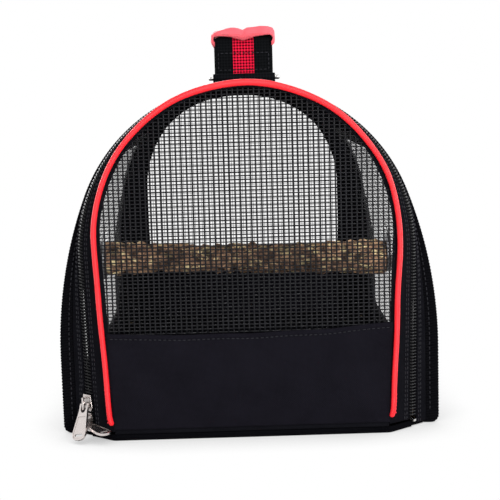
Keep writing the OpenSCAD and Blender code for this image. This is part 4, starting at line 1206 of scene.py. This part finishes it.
depth = add(tree, "ShaderNodeAttribute", attribute_name="bark_height")
browns = add(tree, "ShaderNodeValToRGB", {0: grain})
for position, colour in ((0.40, (104, 80, 66)), (0.5, (168, 130, 104)), (0.6, (220, 178, 138))):
    stop = browns.color_ramp.elements.new(position)
    stop.color = (*shade(*colour), 1)
browns.color_ramp.elements[0].color = (*shade(50, 40, 35), 1)
browns.color_ramp.elements[-1].color = (*shade(250, 212, 158), 1)
# Golden flakes: partly the bark's own lighter flakes where it has peeled, partly painted highlight,
# brightened near to white to stand for glints.
picked = add(tree, "ShaderNodeSeparateColor", {0: scales.outputs["Color"]})
chosen = maths(tree, "MULTIPLY_ADD", grains(tree, place, 60.0, 3.0), 1.1, picked.outputs[0])
inner_part = remap(tree, cracks, 0.0, 1.0, 0.05, 0.2)
peeled_and_glinting = maths(tree, "MULTIPLY", remap(tree, chosen, 0.0, 1.0, 1.28, 1.34), inner_part)
golden = blend(tree, peeled_and_glinting, browns.outputs[0], shade(255, 232, 176))
# Painted shade: the colour darkens in the low furrows, read from the bark_height attribute, and along the
# cracks between flakes.
furrow_painted_shade = remap(tree, depth.outputs["Fac"], 0.22, 1.0, 0.28, 0.5)
shadow = maths(tree, "MULTIPLY", furrow_painted_shade, remap(tree, cracks, 0.35, 1.0, 0.0, 0.07))
raised = maths(tree, "MULTIPLY_ADD", maths(tree, "MINIMUM", cracks, 0.25), 1.6, grain)
raised = maths(tree, "MULTIPLY_ADD", grains(tree, place, 900.0, 4.0), 0.3, raised)
surface(tree, shader, blend(tree, 1.0, golden, shadow, blend_type="MULTIPLY"), raised, 0.9, 0.0009)
perch = loft("perch_branch", branch, "carrier", bark)
# The bark's heights, which the bark finish reads to paint shade in its furrows.
heights = (0.55 * furrow + flake).ravel()
heights = (heights - heights.min()) / (heights.max() - heights.min())
shade_height_attribute = perch.data.attributes.new("bark_height", "FLOAT", "POINT")
shade_height_attribute.data.foreach_set("value", heights.astype(np.float32))
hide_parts("perch")

repaint("perch_studs", steel)
rounded_copy("inner_washers_metal", "inner_washers", "carrier", washer_zinc, 0.0003)
rounded_copy("outer_washers_metal", "outer_washers", "carrier", washer_zinc, 0.0003)
rounded_copy("left_wing_nut_metal", "left_wing_nut", "left_nut", steel, 0.0005, 3)
rounded_copy("right_wing_nut_metal", "right_wing_nut", "right_nut", steel, 0.0005, 3)


# ---- Handle rings and tabs -------------------------------------------------------------------
# A flat ring of chromed wire at each end of the handle, held down by a tab of doubled
# cloth that goes round its outer bar and is sewn flat to the roof.
repaint("front_ring", steel)
repaint("rear_ring", steel)

# Length of a float in the webbing, and the cloth's length across at a strap's middle, in millimetres.
weave_ribs = 2.05
centre_line = 100.0


def woven_strap(name, width, thick, path, body, finish, height):
    """Heavy flat webbing along a path (n, 3), with its width along x: a flat oval section whose two faces
    carry slanting floats, a product of two sine waves, as the yarns of a herringbone do."""
    side = np.array([1.0, 0, 0])
    over = unit(np.cross(side, unit(np.gradient(path, axis=0))))
    far = far_along(path)[:, None]
    u = np.concatenate([np.linspace(-1, 1, 54), [1.015, 1.015], np.linspace(1, -1, 54), [-1.015, -1.015]])
    v = np.concatenate([np.ones(54), [0.45, -0.45], -np.ones(54), [-0.45, 0.45]])
    x = u * width / 2
    edge = np.clip((width / 2 - np.abs(x)) / 1.2, 0, 1)
    floats = np.sin((x + far) * np.pi / weave_ribs) * np.sin((x - far) * np.pi / weave_ribs)
    rise = v * (thick / 2 - 0.10 * (1 - edge)) + v * height * 0.5 * floats * edge
    selvage = 1 + 0.004 * np.sin(far * 2 * np.pi / 1.6) * (np.abs(u) > 0.98)
    section = path[:, None] + side * (x * selvage)[..., None] + over[:, None] * rise[..., None]
    return loft(name, section, body, finish, across=np.concatenate([x, x[:1]]) + centre_line)


def webbing(name, edge, core, core_half):
    """Polyester webbing: slanting floats that go from a dark to a light colour as they rise, which is painted
    shade and painted highlight; the core and the edge have colours of their own. The core is what lies
    within core_half of the centre line, and the edge what lies beyond it."""
    made, tree, shader = finish_of(name, edge[0], 0.66, 0.02)
    far, across = cloth_lengths(tree)[1:]
    x = maths(tree, "SUBTRACT", across, centre_line)
    plus = maths(tree, "SINE", maths(tree, "MULTIPLY", maths(tree, "ADD", x, far), np.pi / weave_ribs))
    less = maths(tree, "SINE", maths(tree, "MULTIPLY", maths(tree, "SUBTRACT", x, far), np.pi / weave_ribs))
    floats = maths(tree, "MULTIPLY_ADD", maths(tree, "MULTIPLY", plus, less), 0.5, 0.5)
    yarn = maths(tree, "ABSOLUTE", maths(tree, "SINE", maths(tree, "MULTIPLY", x, np.pi / 0.51)))
    raised = maths(tree, "MULTIPLY_ADD", yarn, 0.25, floats)
    inside = maths(tree, "LESS_THAN", maths(tree, "ABSOLUTE", x), core_half)
    edge_tone = blend(tree, raised, *edge, clamp_factor=True)
    core_tone = blend(tree, remap(tree, raised, 0.0, 1.0, 0.36, 0.98), *core, clamp_factor=True)
    surface(tree, shader, blend(tree, inside, edge_tone, core_tone), raised, 0.5, 0.0003)
    sheen(shader, 0.002, Roughness=0.4)
    return made


def moved(piece, way):
    """Moves a piece's points: way takes them in metres and gives their new places."""
    points = np.empty(len(piece.data.vertices) * 3)
    piece.data.vertices.foreach_get("co", points)
    piece.data.vertices.foreach_set("co", way(points.reshape(-1, 3)).ravel())
    piece.data.update()


def under_crown(x, r):
    """How far the roof's crown, an arc of radius r, has dropped at x."""
    return r - np.sqrt(r ** 2 - x ** 2)


def settled(points):
    """The lower layer of a tab follows the roof's crown, and its upper layers lie flat."""
    share = np.clip(1 - (points[:, 2] - 0.2212) / 0.0015, 0, 1)
    points[:, 2] -= under_crown(points[:, 0], crown_r / 1000) * share
    return points


def box_seam(half_wide, low, high):
    """Line of the stitched box that fastens a strap's end, in even steps."""
    corners = [[-half_wide, low], [half_wide, low], [half_wide, high], [-half_wide, high], [-half_wide, low]]
    return evenly(np.array(corners, float), 160, closed=False)


# Pairs of colours for each yarn: painted shade where its floats sink and painted highlight where they rise.
tab_yarn = (shade(2, 2, 3), shade(16, 17, 20))
strap_yarn = (shade(1, 2, 3), shade(14, 15, 17))
stripe_yarn = (shade(52, 0, 6), shade(228, 26, 60))
webbing_black = webbing("black_webbing", tab_yarn, tab_yarn, 1.0)
webbing_red = webbing("red_stripe_webbing", strap_yarn, stripe_yarn, 7.3)

handle_x = 2.0
tab_y = 88
tab_z = 219.6
for sign, word in ((-1, "front"), (1, "rear")):
    a = np.radians(np.linspace(-64, 232, 40))
    loop = np.stack([-2.3 * np.cos(a), 3.5 + 2.3 * np.sin(a)], 1)[::-1]
    below = np.linspace(19.0, 2.2, 30)
    above = np.linspace(-0.6, 19.0, 34)
    lower = np.stack([below, np.interp(below, [2.2, 5, 19], [1.55, 0.6, 0.45])], 1)
    upper = np.stack([above, np.interp(above, [-0.6, 4, 19], [1.5, 1.55, 1.45])], 1)
    line = evenly(np.concatenate([lower, loop, upper]), 150, closed=False)
    path = np.stack(np.broadcast_arrays(handle_x, sign * (tab_y + line[:, 0]), tab_z + line[:, 1]), 1)
    tab = woven_strap(f"{word}_ring_tab_webbing", 42.0, 1.0, path, "carrier", webbing_black, 0.12)
    moved(tab, settled)
    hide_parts(f"{word}_ring_tab")
    box = box_seam(19, 4.5, 17)
    x = box[:, 0] + handle_x
    seam = np.stack([x, sign * (tab_y + box[:, 1]), tab_z + 2.0 - under_crown(x, crown_r)], 1)
    stitches(f"{word}_tab_stitches", seam, [0, 0, 1.0], 3.0, 2.3, "carrier", thread, thick=0.36, seed=20)


# ---- Handle ----------------------------------------------------------------------------------
# 40 mm webbing, black with a red stripe: from each ring a short leg stands up to the top
# strap, which runs straight between them. Each end is folded round its ring and sewn.
ring_y = 75
ring_z = 223
handle_z = 250.0
for sign, word in ((-1, "front"), (1, "rear")):
    a = np.radians(np.linspace(200, -20, 44))
    loop = np.stack([2.22 * np.cos(a), ring_z - 2.22 * np.sin(a)], 1)
    rise_z = np.linspace(226.2, 250.2, 60)
    near = np.stack([np.full(60, 0.56), rise_z], 1)
    line = evenly(np.concatenate([(near * [-1, 1])[::-1], loop, near]), 230, closed=False)
    path = np.stack(np.broadcast_arrays(handle_x, sign * ring_y + line[:, 0], line[:, 1]), 1)
    leg = woven_strap(f"{word}_leg_webbing", 40.0, 1.08, path, f"{word}_leg", webbing_red, 0.14)
    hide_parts(f"handle_{word}_leg")
    box = box_seam(17.5, 228.5, 240)
    for face in (-1, 1):
        seam = np.stack(np.broadcast_arrays(box[:, 0] + handle_x, sign * ring_y + face * 1.12, box[:, 1]), 1)
        stitches(f"{word}_leg_stitches_{'out' if face == sign else 'in'}", seam, [0, face, 0], 3.0, 2.3,
                 f"{word}_leg", thread, thick=0.36, seed=22)


def mitred(points):
    """Each end of the top strap is cut on a slope, shorter below, so that the leg turns in under it."""
    cut = np.interp(points[:, 2], [0.2488, 0.2506], [0.0714, 0.0734])
    past = np.clip(np.abs(points[:, 1]) - 0.066, 0, None)
    points[:, 1] -= np.sign(points[:, 1]) * past * (0.0735 - cut) / 0.0075
    return points


path = np.stack(np.broadcast_arrays(handle_x, np.linspace(-73.5, 73.5, 300), handle_z), 1)
top = woven_strap("handle_top_webbing", 40.0, 2.1, path, "grip", webbing_red, 0.14)
moved(top, mitred)
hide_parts("handle_top_strap")


# ---- Grip ------------------------------------------------------------------------------------
# Padded wrap of red satin-backed cloth, folded over the handle from side to side. It is
# fullest over the edges of the strap, dips along the middle and closes below.
grip_cloth, tree, shader = finish_of("grip_cloth", shade(244, 92, 104), 0.6, 0.3)
height, cloth = plain_weave(tree, 0.6)
patches = grains(tree, cloth, 0.06, 4.0)
tone = blend(tree, patches, shade(238, 70, 84), shade(250, 112, 122))
# Painted shade: the colour darkens towards black where the weave is low, between the threads.
threads = blend(tree, maths(tree, "MULTIPLY_ADD", height, 0.35, 0.65), (0, 0, 0), tone)
raised = maths(tree, "MULTIPLY_ADD", grains(tree, cloth, 1.8, 3.0), 0.6, height)
surface(tree, shader, threads, raised, 0.4, 0.0002)
sheen(shader, 0.35, Roughness=0.4, Tint=(1.0, 0.7, 0.72, 1))

outside = evenly(np.array([[1.1, 245.0], [8, 244.4], [15, 244.2], [19.6, 244.6], [21.7, 245.9], [22.5, 248.3],
                           [22.4, 251.2], [22.2, 254.6], [20.8, 257.2], [17.6, 258.2], [11.0, 258.2],
                           [6.6, 257.8], [3.0, 257.2], [0.0, 256.8]]), 44, closed=False)
inside = evenly(np.array([[1.1, 247.0], [8, 246.9], [15, 246.9], [18.9, 247.2], [20.4, 248.4], [20.7, 249.4],
                          [20.6, 250.6], [19.8, 251.8], [18.0, 252.2], [15, 252.3], [11, 252.3], [6.6, 252.2],
                          [3.0, 252.1], [0.0, 252.0]]), 44, closed=False)
left = np.array([-1.0, 1.0])
padding = outside - inside
profile = np.concatenate([outside, (outside * left)[-2::-1], inside * left, inside[-2::-1]])
thickness = np.concatenate([padding, (padding * left)[-2::-1], 0 * inside, 0 * inside[1:]])
outer_skin = thickness[:, 1] != 0
grip_end = 79.4
tip = 2.2 * np.linspace(0, 1, 10) ** 1.7
grip_y = np.concatenate([-grip_end + tip, np.linspace(-76.8, 76.8, 230), grip_end - tip[::-1]])[:, None]
from_end = grip_end - np.abs(grip_y)
roundness = np.sqrt(1 - (1 - np.clip(from_end / 2.4, 0.02, 1)) ** 2)
x = profile[:, 0] - thickness[:, 0] * (1 - roundness)
z = profile[:, 1] - thickness[:, 1] * (1 - roundness)
closed_below = smooth_step((66.5 - np.abs(grip_y)) / 6)
flap = smooth_step((19.6 - np.abs(x)) / 2) * (z < 248.5)
x = np.sign(x) * np.where(flap > 0, np.abs(x) * closed_below + 19.7 * (1 - closed_below), np.abs(x))
z = z + flap * (1 - closed_below) * 0.8
puffy = outer_skin * (z > 248)
quilt = 0.35 * ripple(grip_y, 3.0 * profile[:, 0], 130, 34) + 0.15 * ripple(grip_y, x, 131, 13)
crease = -1.1 * np.exp(-(x / 1.9) ** 2) * (z > 253)
lean = -3.4 * smooth_step((-x - 5) / 17) * np.exp(-(from_end / 26) ** 2) * (z > 253.5)
lip = ~outer_skin * (z > 250.6) * np.exp(-(from_end / 2.0) ** 4)
z = z - lip * (0.9 * smooth_step((19 - np.abs(x)) / 9) + 2.6 * np.clip(1 - np.abs(x) / 9.5, 0, 1))
z = z + puffy * (quilt * smooth_step(from_end / 5) + crease + lean)
x = x + puffy * 0.25 * np.sign(x) * ripple(grip_y, z, 132, 22) * (np.abs(x) > 18)
z = np.minimum(z, 258.4)
fold = 0.9 * np.exp(-(x / 0.8) ** 2) * np.exp(-(from_end / 2.6) ** 2) * (z > 250)
wrap = np.stack([x + handle_x, grip_y - np.sign(grip_y) * fold, z], 2)
grip = loft("grip_wrap_cloth", wrap, "grip", grip_cloth)
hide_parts("grip_wrap")
for side, word in ((-1, "left"), (1, "right")):
    line = np.stack(np.broadcast_arrays(handle_x + side * 3.4, np.linspace(-64, 64, 260), 244.55), 1)
    stitches(f"grip_stitches_{word}", line, [0, 0, -1.0], 3.2, 2.4, "grip", red_thread, thick=0.33, seed=25)
